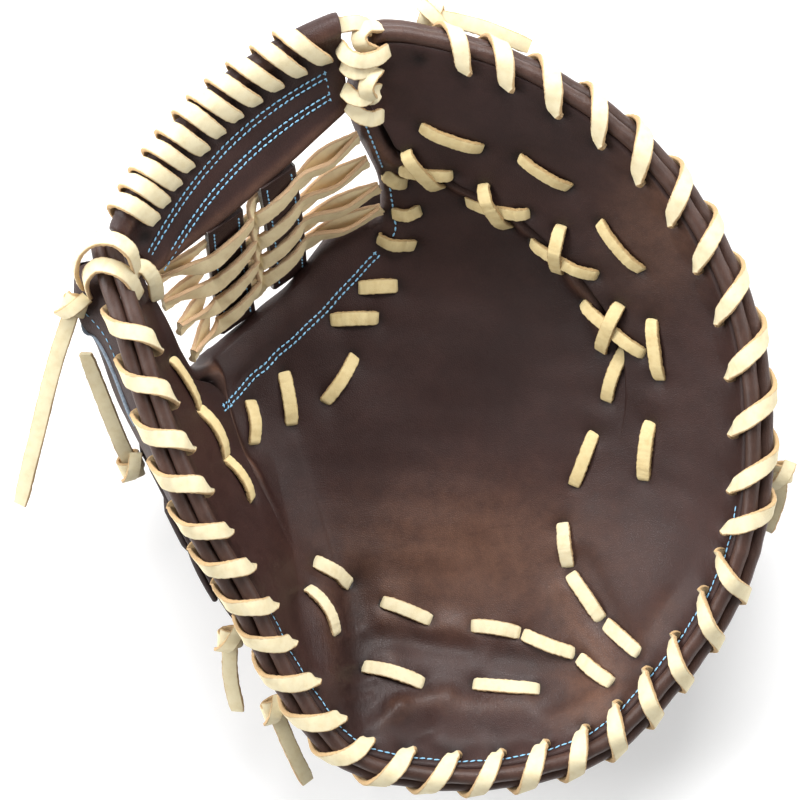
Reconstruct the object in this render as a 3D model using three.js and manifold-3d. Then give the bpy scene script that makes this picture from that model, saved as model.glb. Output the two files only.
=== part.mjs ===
// A first base mitt that lies on its back with the pocket up, in millimetres.
// X runs from the thumb side to the finger side, Y from the heel to the finger tips, Z up.
// The origin is on the floor under the middle of the mitt, free lace ends and all.
import * as THREE from 'three';
import { mergeVertices } from 'three/addons/utils/BufferGeometryUtils.js';
import Module from 'manifold-3d';

const wasm = await Module();
wasm.setup();

// Driving dimensions of the whole mitt.
const MITT_WIDTH = 290;
const MITT_LENGTH = 308;
const MITT_DEPTH = 120;

// Leather walls. The palm is leather on felt padding, so it is thicker than one hide.
const PALM_WALL = 4;
const BACK_WALL = 3.2;
const STRAP_WALL = 3;
const LIP_PAD = 8;
const LIP_EDGE = 4;
const LIP_WIDTH = 11;
const LIP_DROP = 3;

// Room for the hand between the outside of the palm and the outside of the back.
const HAND_SPACE = 38;
const INNER_EDGE_SPACE = 15;

// The two rolled welts that lie side by side along the rim.
const WELT_DIAMETER = 7.2;
const WELT_SIDES = 5;
const WELT_STAND = 0.8;

// Rawhide lace and the slots that it passes through.
const LACE_WIDTH = 6.5;
const LACE_THICKNESS = 2.2;
const SLOT_INSET = 3;
const SLOT_LENGTH = 5.5;
const SLOT_WIDTH = 10;
const LACE_BEND = 0.4;
const LACE_CORNER = 0.5;

// Clearances between pieces that touch on the real mitt.
const GAP = 0.3;
const SEAT_GAP = 0.45;
const POST_CLEAR = 1;
const BAR_CLEAR = 1.8;

// The web: a padded bar on top, two posts and four rows of lace.
const BAR_ROLL = 10;
const BAR_PANEL = 5;
const BAR_TURNS = 11;
const BAR_MARGIN = 0.05;
const BAR_BOW = 12.5;
const BAR_SAG = 2;
const BAR_SLOT_WIDTH = 7.7;
const POST_WIDTH = 17.5;
const POST_THICKNESS = 3.5;

// Heel lining, wrist strap and its tab.
const LINING_WIDTH = 16;
const TAB_WALL = 3.2;
const TONGUE_EDGES = [12, 20, 33];
const TONGUE_STAND = 1.2;

// Knots on the lace ends.
const KNOT_LENGTH = 13;
const KNOT_WIDTH = 11;
const KNOT_HEIGHT = 8;
const KNOT_SIDES = 7;
const KNOT_RINGS = 4;

const LEATHER = new THREE.MeshStandardMaterial({ color: 0x3f2d2a, roughness: 0.5, metalness: 0 });
const WELT_LEATHER = new THREE.MeshStandardMaterial({ color: 0x4d3935, roughness: 0.5, metalness: 0 });
const RAWHIDE = new THREE.MeshStandardMaterial({ color: 0xe9d7ae, roughness: 0.75, metalness: 0 });
const FELT = new THREE.MeshStandardMaterial({ color: 0x4a3733, roughness: 0.65, metalness: 0 });

// Cross-sections of the palm, from the thumb tip round the heel to the finger tips.
// rim: the groove between the welts. edge: the free inner edge, along thumb, web and first finger.
// X is a share of MITT_WIDTH, Y of MITT_LENGTH, Z of MITT_DEPTH.
// lean: degrees that the palm rises at the rim. reach: how far it keeps that slope, a share of the chord.
// dip: height of the pocket, a share of MITT_DEPTH. inset: where it dips, a share of the chord.
// seam: where the dart is sewn, a share from edge to rim. fold: height of its step, of MITT_DEPTH.
// space: depth of the stall behind the palm, a share of HAND_SPACE.
const SECTION_COLUMNS = ['rimX', 'rimY', 'rimZ', 'edgeX', 'edgeY', 'edgeZ', 'lean', 'reach',
  'dip', 'inset', 'seam', 'fold', 'space'];
const SECTIONS = [
  [-0.405, 0.209, 0.958, -0.365, 0.185, 0.858, 80, 0.30, 0.90, 0.35, 0.35, 0.000, 0.60],
  [-0.394, 0.167, 0.983, -0.351, 0.146, 0.808, 85, 0.35, 0.84, 0.35, 0.35, 0.000, 0.74],
  [-0.371, 0.100, 1.000, -0.318, 0.095, 0.733, 88, 0.40, 0.78, 0.35, 0.32, 0.000, 0.82],
  [-0.347, 0.019, 0.975, -0.291, 0.043, 0.583, 90, 0.45, 0.62, 0.30, 0.25, 0.000, 0.84],
  [-0.313, -0.078, 0.933, -0.280, 0.046, 0.475, 90, 0.45, 0.52, 0.25, 0.20, 0.020, 0.84],
  [-0.268, -0.176, 0.850, -0.264, 0.058, 0.425, 88, 0.40, 0.38, 0.25, 0.27, 0.045, 0.84],
  [-0.216, -0.266, 0.733, -0.244, 0.074, 0.400, 82, 0.35, 0.31, 0.26, 0.50, 0.035, 0.86],
  [-0.161, -0.377, 0.583, -0.223, 0.093, 0.383, 68, 0.30, 0.27, 0.26, 0.60, 0.000, 0.90],
  [-0.079, -0.480, 0.467, -0.201, 0.112, 0.375, 52, 0.30, 0.25, 0.26, 0.62, 0.000, 0.95],
  [0.043, -0.512, 0.417, -0.180, 0.131, 0.367, 45, 0.30, 0.24, 0.26, 0.62, 0.000, 1.00],
  [0.172, -0.508, 0.417, -0.158, 0.149, 0.367, 45, 0.30, 0.24, 0.24, 0.62, 0.000, 1.00],
  [0.295, -0.467, 0.450, -0.140, 0.167, 0.367, 48, 0.30, 0.22, 0.24, 0.62, 0.000, 1.00],
  [0.387, -0.377, 0.517, -0.122, 0.187, 0.375, 54, 0.30, 0.20, 0.24, 0.63, 0.000, 1.00],
  [0.457, -0.275, 0.617, -0.105, 0.203, 0.383, 60, 0.30, 0.19, 0.24, 0.65, 0.000, 1.00],
  [0.494, -0.171, 0.700, -0.086, 0.219, 0.392, 64, 0.30, 0.19, 0.24, 0.66, 0.000, 1.00],
  [0.501, -0.052, 0.767, -0.066, 0.227, 0.400, 66, 0.30, 0.20, 0.24, 0.66, 0.012, 0.98],
  [0.488, 0.072, 0.817, -0.043, 0.226, 0.408, 64, 0.30, 0.25, 0.26, 0.63, 0.035, 0.95],
  [0.446, 0.183, 0.858, -0.023, 0.236, 0.433, 60, 0.30, 0.32, 0.28, 0.56, 0.050, 0.92],
  [0.376, 0.288, 0.892, -0.021, 0.262, 0.483, 54, 0.30, 0.42, 0.30, 0.46, 0.050, 0.88],
  [0.282, 0.371, 0.917, -0.024, 0.288, 0.550, 46, 0.30, 0.52, 0.30, 0.32, 0.050, 0.84],
  [0.165, 0.435, 0.933, -0.038, 0.318, 0.633, 38, 0.30, 0.64, 0.30, 0.22, 0.045, 0.78],
  [0.055, 0.468, 0.950, -0.053, 0.350, 0.725, 35, 0.30, 0.74, 0.30, 0.20, 0.020, 0.70],
  [-0.016, 0.477, 0.958, -0.062, 0.385, 0.808, 40, 0.30, 0.82, 0.30, 0.28, 0.000, 0.60],
  [-0.047, 0.469, 0.958, -0.066, 0.422, 0.883, 50, 0.30, 0.90, 0.30, 0.32, 0.000, 0.50],
];
const LAST = SECTIONS.length - 1;

// Where the back is divided, in section numbers: the hand goes in between thumb and finger backs.
const THUMB_BACK_END = 6.42;
const FINGER_BACK_START = 10.06;
// The thumb back narrows to its inner edge up to one section, the finger back from another on.
const THUMB_NARROW_END = 6;
const FINGER_NARROW_START = 16;
const FINGER_NARROW_RUN = 2;

// Strap, keeper and tongue: where each starts and ends, in section numbers, and its columns.
const STRAP_START = 4.7;
const STRAP_COLUMNS = 11;
const STRAP_LEAVES_THUMB = 6.82;
const STRAP_LEAVING_RUN = 1.2;
const STRAP_TOP = 0.4;
const STRAP_LOW = 0.75;
const KEEPER = [5.6, 6.7, 3];
const KEEPER_EDGES = [0.5, 0.95];
const TONGUE = [6.6, 8.0, 5];

// Lace slots along the rim: how many pitches there are up to each share of the rim's length.
const FIRST_SLOT = 0.0355;
const SLOT_ZONES = [[2, 0.095], [3, 0.1745], [3, 0.249], [4, 0.358], [7, 0.542], [7, 0.767], [5, 0.917],
  [2, 0.968]];
// Where the thumb lace and the finger lace meet there are two slots side by side.
const MEETING_SLOT = 21;
const MEETING_SPREAD = 5.6;

// Lace tacks that hold the palm to its lining: section and share at each end.
const TACK_COLUMNS = ['fromSection', 'fromShare', 'toSection', 'toShare'];
const TACKS = [
  [20.33, 0.42, 19.53, 0.54], [19.12, 0.63, 18.46, 0.69], [17.76, 0.71, 17.06, 0.76],
  [15.50, 0.65, 14.60, 0.62], [16.20, 0.74, 15.36, 0.74], [14.61, 0.72, 13.73, 0.73],
  [13.79, 0.61, 12.78, 0.62], [12.20, 0.65, 11.93, 0.70], [11.88, 0.72, 11.83, 0.81],
  [11.84, 0.83, 11.93, 0.92], [10.06, 0.70, 10.60, 0.735], [10.70, 0.745, 11.27, 0.82],
  [11.33, 0.84, 11.48, 0.92], [9.74, 0.81, 10.49, 0.85], [8.84, 0.63, 9.41, 0.67],
  [8.28, 0.77, 9.00, 0.80], [7.50, 0.57, 8.33, 0.59], [7.19, 0.67, 7.56, 0.73],
  [12.79, 0.12, 13.73, 0.17], [11.09, 0.12, 12.31, 0.18], [10.88, 0.20, 9.35, 0.24],
  [8.38, 0.16, 8.04, 0.26], [6.58, 0.23, 6.44, 0.35], [2.75, 0.39, 4.04, 0.46],
  [4.10, 0.47, 5.10, 0.55], [5.16, 0.56, 5.88, 0.61],
  [19.20, 0.04, 18.93, 0.10], [17.60, 0.04, 17.80, 0.12], [15.76, 0.05, 16.10, 0.13],
];
// Crossed tacks over the dart seam: two strands each.
const CROSSES = [
  [[19.51, 0.14, 19.16, 0.34], [19.98, 0.26, 18.70, 0.24]],
  [[18.11, 0.30, 18.06, 0.50], [18.74, 0.42, 17.59, 0.40]],
  [[17.32, 0.46, 16.91, 0.62], [17.73, 0.58, 16.80, 0.51]],
  [[16.15, 0.56, 15.64, 0.70], [16.36, 0.66, 15.40, 0.60]],
];

// Corners of the web bar, as shares of width, length and depth.
const BAR_CORNERS = {
  topThumb: [-0.383, 0.212, 1.055],
  topFinger: [-0.083, 0.480, 1.07],
  lowThumb: [-0.338, 0.166, 0.885],
  lowFinger: [-0.072, 0.380, 0.86],
};
// Posts: share along the bar, and the section of the palm's edge that each stands on.
const POSTS = [[0.34, 7.0], [0.61, 10.4]];
// Lace rows: section on the thumb's edge, shares down each post, section on the finger's edge.
const WEB_ROWS = [
  [0.9, 0.20, 0.18, 21.0],
  [1.5, 0.42, 0.40, 20.1],
  [2.1, 0.62, 0.60, 19.0],
  [2.7, 0.82, 0.78, 17.95],
];

// Free ends of lace: each point as shares of width, length and depth, knot first.
const LACE_ENDS = {
  thumb_tip_lace_end: [[-0.448, 0.130, 0.852], [-0.482, 0.045, 0.752], [-0.514, -0.055, 0.612],
    [-0.542, -0.140, 0.472]],
  thumb_back_lace_end: [[-0.384, -0.090, 0.42], [-0.400, -0.052, 0.50], [-0.426, 0.020, 0.63],
    [-0.440, 0.062, 0.71]],
  top_lace_end: [[0.040, 0.500, 0.851], [0.108, 0.486, 0.851], [0.180, 0.460, 0.841]],
  heel_lace_end_1: [[-0.242, -0.314, 0.48], [-0.244, -0.370, 0.39], [-0.235, -0.424, 0.29]],
  heel_lace_end_2: [[-0.182, -0.410, 0.44], [-0.160, -0.466, 0.36], [-0.134, -0.522, 0.27]],
  side_lace_end: [[0.519, -0.095, 0.53], [0.518, -0.135, 0.47], [0.505, -0.175, 0.41]],
};

// Ties at the ends of the web bar: strands that cross, each point as shares like the lace ends.
const TIES = {
  thumb_tie: [
    [[-0.455, 0.175, 0.922], [-0.442, 0.192, 1.012], [-0.410, 0.212, 1.067], [-0.394, 0.236, 1.112]],
    [[-0.440, 0.222, 0.922], [-0.425, 0.215, 1.022], [-0.405, 0.195, 1.062], [-0.380, 0.176, 1.022]],
  ],
  finger_tie: [
    [[-0.082, 0.502, 1.041], [-0.066, 0.484, 1.051], [-0.030, 0.455, 1.041], [0.000, 0.448, 1.011]],
    [[-0.070, 0.506, 0.991], [-0.060, 0.490, 1.051], [-0.052, 0.450, 1.031], [-0.060, 0.410, 0.961]],
  ],
};

const UP = new THREE.Vector3(0, 0, 1);
const STEP = 0.02;

function named(columns, row) {
  return Object.fromEntries(columns.map((name, i) => [name, row[i]]));
}

function mix(a, b, f) {
  return a + (b - a) * f;
}

function clamp(x, low, high) {
  return Math.min(Math.max(x, low), high);
}

function moved(point, direction, distance) {
  return point.clone().addScaledVector(direction, distance);
}

function between(a, b, f) {
  return a.clone().lerp(b, f);
}

function placed([x, y, z]) {
  return new THREE.Vector3(x * MITT_WIDTH, y * MITT_LENGTH, z * MITT_DEPTH);
}

// One value on a smooth curve through a column's values.
function smooth(values, u) {
  const at = clamp(u, 0, values.length - 1);
  const i = Math.min(Math.floor(at), values.length - 2);
  const f = at - i;
  const b = values[i];
  const c = values[i + 1];
  const a = i > 0 ? values[i - 1] : 2 * b - c;
  const d = i + 2 < values.length ? values[i + 2] : 2 * c - b;
  const linear = (c - a) * f;
  const square = (2 * a - 5 * b + 4 * c - d) * f * f;
  const cube = (3 * b - a - 3 * c + d) * f * f * f;
  return 0.5 * (2 * b + linear + square + cube);
}

function sectionAt(u) {
  return named(SECTION_COLUMNS, SECTION_COLUMNS.map((_, i) => smooth(SECTIONS.map((row) => row[i]), u)));
}

function rimPoint(u) {
  const s = sectionAt(u);
  return placed([s.rimX, s.rimY, s.rimZ]);
}

function edgePoint(u) {
  const s = sectionAt(u);
  return placed([s.edgeX, s.edgeY, s.edgeZ]);
}

// Directions at the rim: along it, outwards in the palm's own plane, and square to the palm.
function rimFrame(u) {
  const point = rimPoint(u);
  const along = rimPoint(Math.min(u + STEP, LAST)).sub(rimPoint(Math.max(u - STEP, 0))).normalize();
  const outward = new THREE.Vector3(along.y, -along.x, 0).normalize();
  const lean = THREE.MathUtils.degToRad(sectionAt(u).lean);
  const rise = outward.multiplyScalar(Math.cos(lean)).addScaledVector(UP, Math.sin(lean));
  rise.addScaledVector(along, -rise.dot(along)).normalize();
  const square = rise.clone().cross(along);
  return { point, along, rise, square };
}

// The palm's face, from its inner edge at share 0 to the welt at share 1.
function palmFace(u, v) {
  const s = sectionAt(u);
  const { point, rise, square } = rimFrame(u);
  const edge = placed([s.edgeX, s.edgeY, s.edgeZ]);
  const top = moved(moved(point, square, WELT_DIAMETER - WELT_STAND), rise, -WELT_DIAMETER / 2 - GAP);
  const dip = between(edge, top, s.inset).setZ(s.dip * MITT_DEPTH);
  const steep = moved(top, rise, -s.reach * edge.distanceTo(top));
  const w = 1 - v;
  return edge.multiplyScalar(w * w * w)
    .addScaledVector(dip, 3 * v * w * w)
    .addScaledVector(steep, 3 * v * v * w)
    .addScaledVector(top, v * v * v);
}

function palmNormal(u, v) {
  const across = palmFace(u, Math.min(v + STEP, 1)).sub(palmFace(u, Math.max(v - STEP, 0)));
  const along = palmFace(Math.min(u + STEP, LAST), v).sub(palmFace(Math.max(u - STEP, 0), v));
  return across.cross(along).normalize();
}

// Square to the leather, and square to the welts within the laced edge.
const SQUARE_FADE = 0.15;
function sheetNormal(u, v) {
  const { square } = rimFrame(u);
  const inside = clamp((shareInside(u, SLOT_INSET + SLOT_LENGTH) - v) / SQUARE_FADE, 0, 1);
  return square.lerp(palmNormal(u, v), inside).normalize();
}

// The share of a section that lies a given distance in from the welt.
const SHARE_STEPS = 60;
function shareInside(u, distance) {
  let left = distance;
  let last = palmFace(u, 1);
  for (let i = 1; i <= SHARE_STEPS; i += 1) {
    const next = palmFace(u, 1 - i / SHARE_STEPS);
    const length = next.distanceTo(last);
    if (length >= left) {
      return 1 - (i - 1 + left / length) / SHARE_STEPS;
    }
    left -= length;
    last = next;
  }
  return 0;
}

// Lengths along the rim.
const RIM_STEPS = 600;
const rimLengths = [0];
for (let i = 1; i <= RIM_STEPS; i += 1) {
  const from = rimPoint(((i - 1) / RIM_STEPS) * LAST);
  rimLengths.push(rimLengths[i - 1] + from.distanceTo(rimPoint((i / RIM_STEPS) * LAST)));
}
const RIM_LENGTH = rimLengths[RIM_STEPS];

function sectionAtLength(length) {
  const i = clamp(rimLengths.findIndex((l) => l >= length), 1, RIM_STEPS);
  const f = (length - rimLengths[i - 1]) / (rimLengths[i] - rimLengths[i - 1]);
  return ((i - 1 + f) / RIM_STEPS) * LAST;
}

function lengthAtSection(u) {
  const at = (u / LAST) * RIM_STEPS;
  const i = Math.min(Math.floor(at), RIM_STEPS - 1);
  return mix(rimLengths[i], rimLengths[i + 1], at - i);
}

const slots = [FIRST_SLOT * RIM_LENGTH];
for (const [count, share] of SLOT_ZONES) {
  const start = slots[slots.length - 1];
  for (let i = 1; i <= count; i += 1) {
    slots.push(mix(start, share * RIM_LENGTH, i / count));
  }
}
const meeting = slots[MEETING_SLOT];
slots.splice(MEETING_SLOT, 1, meeting - MEETING_SPREAD, meeting + MEETING_SPREAD);

// Columns of a sheet along the rim: its two ends, and both sides of each slot between them.
function columnsBetween(start, end) {
  const columns = [{ u: sectionAtLength(start), slot: false }];
  for (const slot of slots) {
    const low = slot - SLOT_WIDTH / 2;
    const high = slot + SLOT_WIDTH / 2;
    if (low > start + GAP && high < end - GAP) {
      columns.push({ u: sectionAtLength(low), slot: true });
      columns.push({ u: sectionAtLength(high), slot: false });
    }
  }
  columns.push({ u: sectionAtLength(end), slot: false });
  return columns;
}

function evenColumns(start, end, count) {
  return Array.from({ length: count + 1 }, (_, i) => ({ u: mix(start, end, i / count), slot: false }));
}

// Rows of a sheet, from the rim to the inner edge. Row 1 to row 2 is the slot.
const SLOT_ROW = 1;
const SEAM_ROW = 5;
const LIP_ROW = 7;
const LIP_MOST = 0.2;
const SEAM_FROM_LIP = 0.05;
const SEAM_FROM_SLOT = 0.1;
const SEAM_STEP = 0.04;
const UPPER_MIDDLE = 0.45;
const LOWER_MIDDLE = 0.5;
function rowsAt(u) {
  const s = sectionAt(u);
  const slotOuter = shareInside(u, SLOT_INSET);
  const slotInner = shareInside(u, SLOT_INSET + SLOT_LENGTH);
  const lip = Math.min(LIP_WIDTH / rimPoint(u).distanceTo(edgePoint(u)), LIP_MOST);
  const seam = clamp(s.seam, lip + SEAM_FROM_LIP, slotInner - SEAM_FROM_SLOT);
  const seamTop = seam + SEAM_STEP;
  const upper = mix(slotInner, seamTop, UPPER_MIDDLE);
  const lower = mix(seam, lip, LOWER_MIDDLE);
  return [1, slotOuter, slotInner, upper, seamTop, seam, lower, lip, 0];
}

// A solid from its numbered corners and faces, turned the right way out.
function solidGeometry(points, faces) {
  let volume = 0;
  for (const [a, b, c] of faces) {
    volume += points[a].dot(points[b].clone().cross(points[c]));
  }
  const index = faces.flatMap(([a, b, c]) => (volume > 0 ? [a, b, c] : [a, c, b]));
  const geometry = new THREE.BufferGeometry();
  const numbers = points.flatMap((p) => [p.x, p.y, p.z]);
  geometry.setAttribute('position', new THREE.Float32BufferAttribute(numbers, 3));
  geometry.setIndex(index);
  return geometry;
}

// A wall between two grids of points. Cells that the test leaves out are holes or stay open.
function sheetSolid(outer, inner, kept = () => true) {
  const columns = outer.length;
  const rows = outer[0].length;
  const numbers = new Map();
  const points = [];
  const faces = [];
  const corner = (grid, i, j) => {
    const key = `${grid === outer ? 0 : 1} ${i} ${j}`;
    if (!numbers.has(key)) {
      numbers.set(key, points.length);
      points.push(grid[i][j]);
    }
    return numbers.get(key);
  };
  const has = (i, j) => i >= 0 && j >= 0 && i < columns - 1 && j < rows - 1 && kept(i, j);
  const wall = (i, j, k, l) => {
    const [a, b] = [corner(outer, i, j), corner(outer, k, l)];
    const [c, d] = [corner(inner, k, l), corner(inner, i, j)];
    faces.push([a, b, c], [a, c, d]);
  };
  for (let i = 0; i < columns - 1; i += 1) {
    for (let j = 0; j < rows - 1; j += 1) {
      if (has(i, j)) {
        const square = [[i, j], [i, j + 1], [i + 1, j + 1], [i + 1, j]];
        const [a, b, c, d] = square.map(([x, y]) => corner(outer, x, y));
        const [e, f, g, h] = square.map(([x, y]) => corner(inner, x, y));
        faces.push([a, b, c], [a, c, d], [e, g, f], [e, h, g]);
        if (!has(i - 1, j)) wall(i, j + 1, i, j);
        if (!has(i + 1, j)) wall(i + 1, j, i + 1, j + 1);
        if (!has(i, j - 1)) wall(i, j, i + 1, j);
        if (!has(i, j + 1)) wall(i + 1, j + 1, i, j + 1);
      }
    }
  }
  return solidGeometry(points, faces);
}

// A closed solid through rings that all have as many corners.
function loft(rings) {
  const sides = rings[0].length;
  const points = rings.flat();
  const faces = [];
  for (let i = 0; i < rings.length - 1; i += 1) {
    for (let j = 0; j < sides; j += 1) {
      const k = (j + 1) % sides;
      const a = i * sides;
      const b = a + sides;
      faces.push([a + j, b + j, b + k], [a + j, b + k, a + k]);
    }
  }
  const end = (rings.length - 1) * sides;
  for (let j = 1; j < sides - 1; j += 1) {
    faces.push([0, j, j + 1], [end, end + j + 1, end + j]);
  }
  return solidGeometry(points, faces);
}

// Four corners of a lace or strap, from its middle and its half width and half thickness.
function flatRing(middle, side, face) {
  return [[1, 1], [-1, 1], [-1, -1], [1, -1]].map(([a, b]) => (
    middle.clone().addScaledVector(side, a).addScaledVector(face, b)));
}

function asManifold(geometry) {
  const bare = mergeVertices(geometry);
  const mesh = new wasm.Mesh({
    numProp: 3,
    vertProperties: new Float32Array(bare.attributes.position.array),
    triVerts: new Uint32Array(bare.index.array),
  });
  return new wasm.Manifold(mesh);
}

function joined(geometries) {
  const sum = geometries.map(asManifold).reduce((a, b) => a.add(b));
  const { vertProperties, triVerts } = sum.getMesh();
  const geometry = new THREE.BufferGeometry();
  geometry.setAttribute('position', new THREE.BufferAttribute(vertProperties, 3));
  geometry.setIndex(new THREE.BufferAttribute(triVerts, 1));
  return geometry;
}

const mitt = new THREE.Group();

function addPiece(name, geometry, material) {
  geometry.computeVertexNormals();
  const mesh = new THREE.Mesh(geometry, material);
  mesh.name = name;
  mitt.add(mesh);
}

// Palm: the fold of the dart stands up next to its seam, and the inner edge is a padded lip.
const palmColumns = columnsBetween(0, RIM_LENGTH);
const palmOuter = [];
const palmInner = [];
for (const { u } of palmColumns) {
  const fold = Math.max(sectionAt(u).fold, 0) * MITT_DEPTH;
  const rows = rowsAt(u);
  const lifts = rows.map(() => 0);
  lifts[SEAM_ROW - 1] = fold;
  lifts[SEAM_ROW - 2] = fold / 2;
  lifts[LIP_ROW + 1] = -LIP_DROP;
  const walls = rows.map(() => PALM_WALL);
  walls[LIP_ROW] = LIP_PAD;
  walls[LIP_ROW + 1] = LIP_DROP + LIP_EDGE;
  palmOuter.push(rows.map((v, j) => moved(palmFace(u, v), sheetNormal(u, v), lifts[j])));
  palmInner.push(rows.map((v, j) => moved(palmFace(u, v), sheetNormal(u, v), -walls[j])));
}
const isSlot = (columns, i, j) => columns[i].slot && j === SLOT_ROW;
addPiece('palm', sheetSolid(palmOuter, palmInner, (i, j) => !isSlot(palmColumns, i, j)), LEATHER);

// The outside of the back lies behind the palm, and is pressed flat where the mitt rests.
const RIM_SPACE = 2 * (WELT_DIAMETER - WELT_STAND);
function backSpace(u, v) {
  const s = sectionAt(u);
  const rows = rowsAt(u);
  const full = s.space * HAND_SPACE;
  const opened = clamp((rows[2] - v) / (rows[2] - rows[SEAM_ROW - 1]), 0, 1);
  const closed = clamp((rows[SEAM_ROW] - v) / (rows[SEAM_ROW] - rows[LIP_ROW]), 0, 1);
  const narrow = u < FINGER_BACK_START
    ? clamp(THUMB_NARROW_END - u, 0, 1)
    : clamp((u - FINGER_NARROW_START) / FINGER_NARROW_RUN, 0, 1);
  const swell = mix(RIM_SPACE, full, Math.sin((opened * Math.PI) / 2));
  return mix(swell, Math.min(INNER_EDGE_SPACE, swell), narrow * closed * closed);
}

function behindPalm(u, v, space, wall) {
  const normal = sheetNormal(u, v);
  const outer = moved(palmFace(u, v), normal, -space);
  const inner = moved(outer, normal, wall);
  const lift = Math.max(-outer.z, 0);
  if (lift > 0) {
    inner.copy(outer).addScaledVector(UP, wall);
  }
  return [moved(outer, UP, lift), moved(inner, UP, lift)];
}

function backSheet(columns, rowsOf, spaceOf, wall) {
  const outer = [];
  const inner = [];
  for (const { u } of columns) {
    const pairs = rowsOf(u).map((v) => behindPalm(u, v, spaceOf(u, v), wall));
    outer.push(pairs.map((pair) => pair[0]));
    inner.push(pairs.map((pair) => pair[1]));
  }
  return sheetSolid(outer, inner, (i, j) => !isSlot(columns, i, j));
}

const backRows = (u) => rowsAt(u).filter((_, j) => j <= LIP_ROW && j !== SEAM_ROW);
const thumbEnd = lengthAtSection(THUMB_BACK_END);
const fingerStart = lengthAtSection(FINGER_BACK_START);
const thumbColumns = columnsBetween(0, thumbEnd);
const fingerColumns = columnsBetween(fingerStart, RIM_LENGTH);
addPiece('thumb_back', backSheet(thumbColumns, backRows, backSpace, BACK_WALL), LEATHER);
addPiece('finger_back', backSheet(fingerColumns, backRows, backSpace, BACK_WALL), LEATHER);

// Heel lining: the facing that the palm is laced to where the hand goes in.
const liningRows = (u) => [1, SLOT_INSET, SLOT_INSET + SLOT_LENGTH, LINING_WIDTH].map((d, i) => (
  i === 0 ? 1 : shareInside(u, d)));
const liningColumns = columnsBetween(thumbEnd + 2 * GAP, fingerStart - 2 * GAP);
addPiece('heel_lining', backSheet(liningColumns, liningRows, () => RIM_SPACE, BACK_WALL), LEATHER);

// Welts: two rolled strips, one on the palm's edge and one on the back's.
function welt(side) {
  const radius = WELT_DIAMETER / 2;
  return loft(palmColumns.map(({ u }) => {
    const { point, rise, square } = rimFrame(u);
    const middle = moved(point, square, side * (radius + GAP / 2));
    return Array.from({ length: WELT_SIDES }, (_, k) => {
      const turn = (2 * Math.PI * (k + 0.5)) / WELT_SIDES;
      return moved(moved(middle, square, side * radius * Math.cos(turn)), rise, radius * Math.sin(turn));
    });
  }));
}
addPiece('palm_welt', welt(1), WELT_LEATHER);
addPiece('back_welt', welt(-1), WELT_LEATHER);

// One turn of rim lace, seen along the rim: out of the palm, over both welts and into the back.
const LACE_OVER = WELT_DIAMETER + GAP / 2 + SEAT_GAP + LACE_THICKNESS / 2;
const LACE_CROWN = WELT_DIAMETER / 2 + SEAT_GAP + LACE_THICKNESS / 2;
const SLOT_DEPTH = WELT_DIAMETER / 2 + GAP + SLOT_INSET + LACE_THICKNESS / 2 + 2 * SEAT_GAP;
const LACE_TURN_COLUMNS = ['square', 'rise', 'faceSquare', 'faceRise', 'advance'];
const LACE_TURN = [
  [PALM_WALL, -SLOT_DEPTH, 0, -1, 0],
  [LACE_OVER, LACE_BEND - SLOT_DEPTH, 1, -1, 0],
  [LACE_OVER - LACE_CORNER, LACE_CROWN, 0.8, 0.8, 0.3],
  [LACE_CORNER - LACE_OVER, LACE_CROWN, -0.8, 0.8, 0.7],
  [-LACE_OVER, LACE_BEND - SLOT_DEPTH, -1, -1, 1],
  [-PALM_WALL, -SLOT_DEPTH, 0, -1, 1],
];

function rimLace(lengths) {
  const rings = [];
  for (let i = 0; i < lengths.length - 1; i += 1) {
    for (const row of LACE_TURN) {
      const turn = named(LACE_TURN_COLUMNS, row);
      const { point, along, rise, square } = rimFrame(
        sectionAtLength(mix(lengths[i], lengths[i + 1], turn.advance)));
      const middle = moved(moved(point, square, turn.square), rise, turn.rise);
      const face = square.clone().multiplyScalar(turn.faceSquare).addScaledVector(rise, turn.faceRise);
      rings.push(flatRing(middle, along.multiplyScalar(LACE_WIDTH / 2),
        face.multiplyScalar(LACE_THICKNESS / 2)));
    }
  }
  return loft(rings);
}
const thumbSlots = slots.slice(0, MEETING_SLOT + 1).reverse();
const fingerSlots = slots.slice(MEETING_SLOT + 1);
addPiece('rim_lace_thumb', rimLace(thumbSlots), RAWHIDE);
addPiece('rim_lace_finger', rimLace(fingerSlots), RAWHIDE);

// Height of the palm's facets along a line through a point, so that a tack lies on them.
const palmTriangles = [];
for (let i = 0; i < palmOuter.length - 1; i += 1) {
  for (let j = 0; j < palmOuter[0].length - 1; j += 1) {
    const [a, b] = [palmOuter[i][j], palmOuter[i][j + 1]];
    const [c, d] = [palmOuter[i + 1][j + 1], palmOuter[i + 1][j]];
    palmTriangles.push([a, b, c], [a, c, d]);
  }
}
function onPalm(point, normal) {
  const far = MITT_DEPTH / 4;
  const ray = new THREE.Ray(moved(point, normal, far), normal.clone().negate());
  let best = null;
  for (const [a, b, c] of palmTriangles) {
    const hit = ray.intersectTriangle(a, b, c, false, new THREE.Vector3());
    if (hit && (!best || hit.distanceTo(point) < best.distanceTo(point))) {
      best = hit;
    }
  }
  return best ?? point;
}

// Heights of a lace pulled tight over a row of heights.
function pulledTight(heights) {
  return heights.map((height, k) => {
    let tight = height;
    for (let i = 0; i < k; i += 1) {
      for (let j = k + 1; j < heights.length; j += 1) {
        tight = Math.max(tight, mix(heights[i], heights[j], (k - i) / (j - i)));
      }
    }
    return tight;
  });
}

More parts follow.
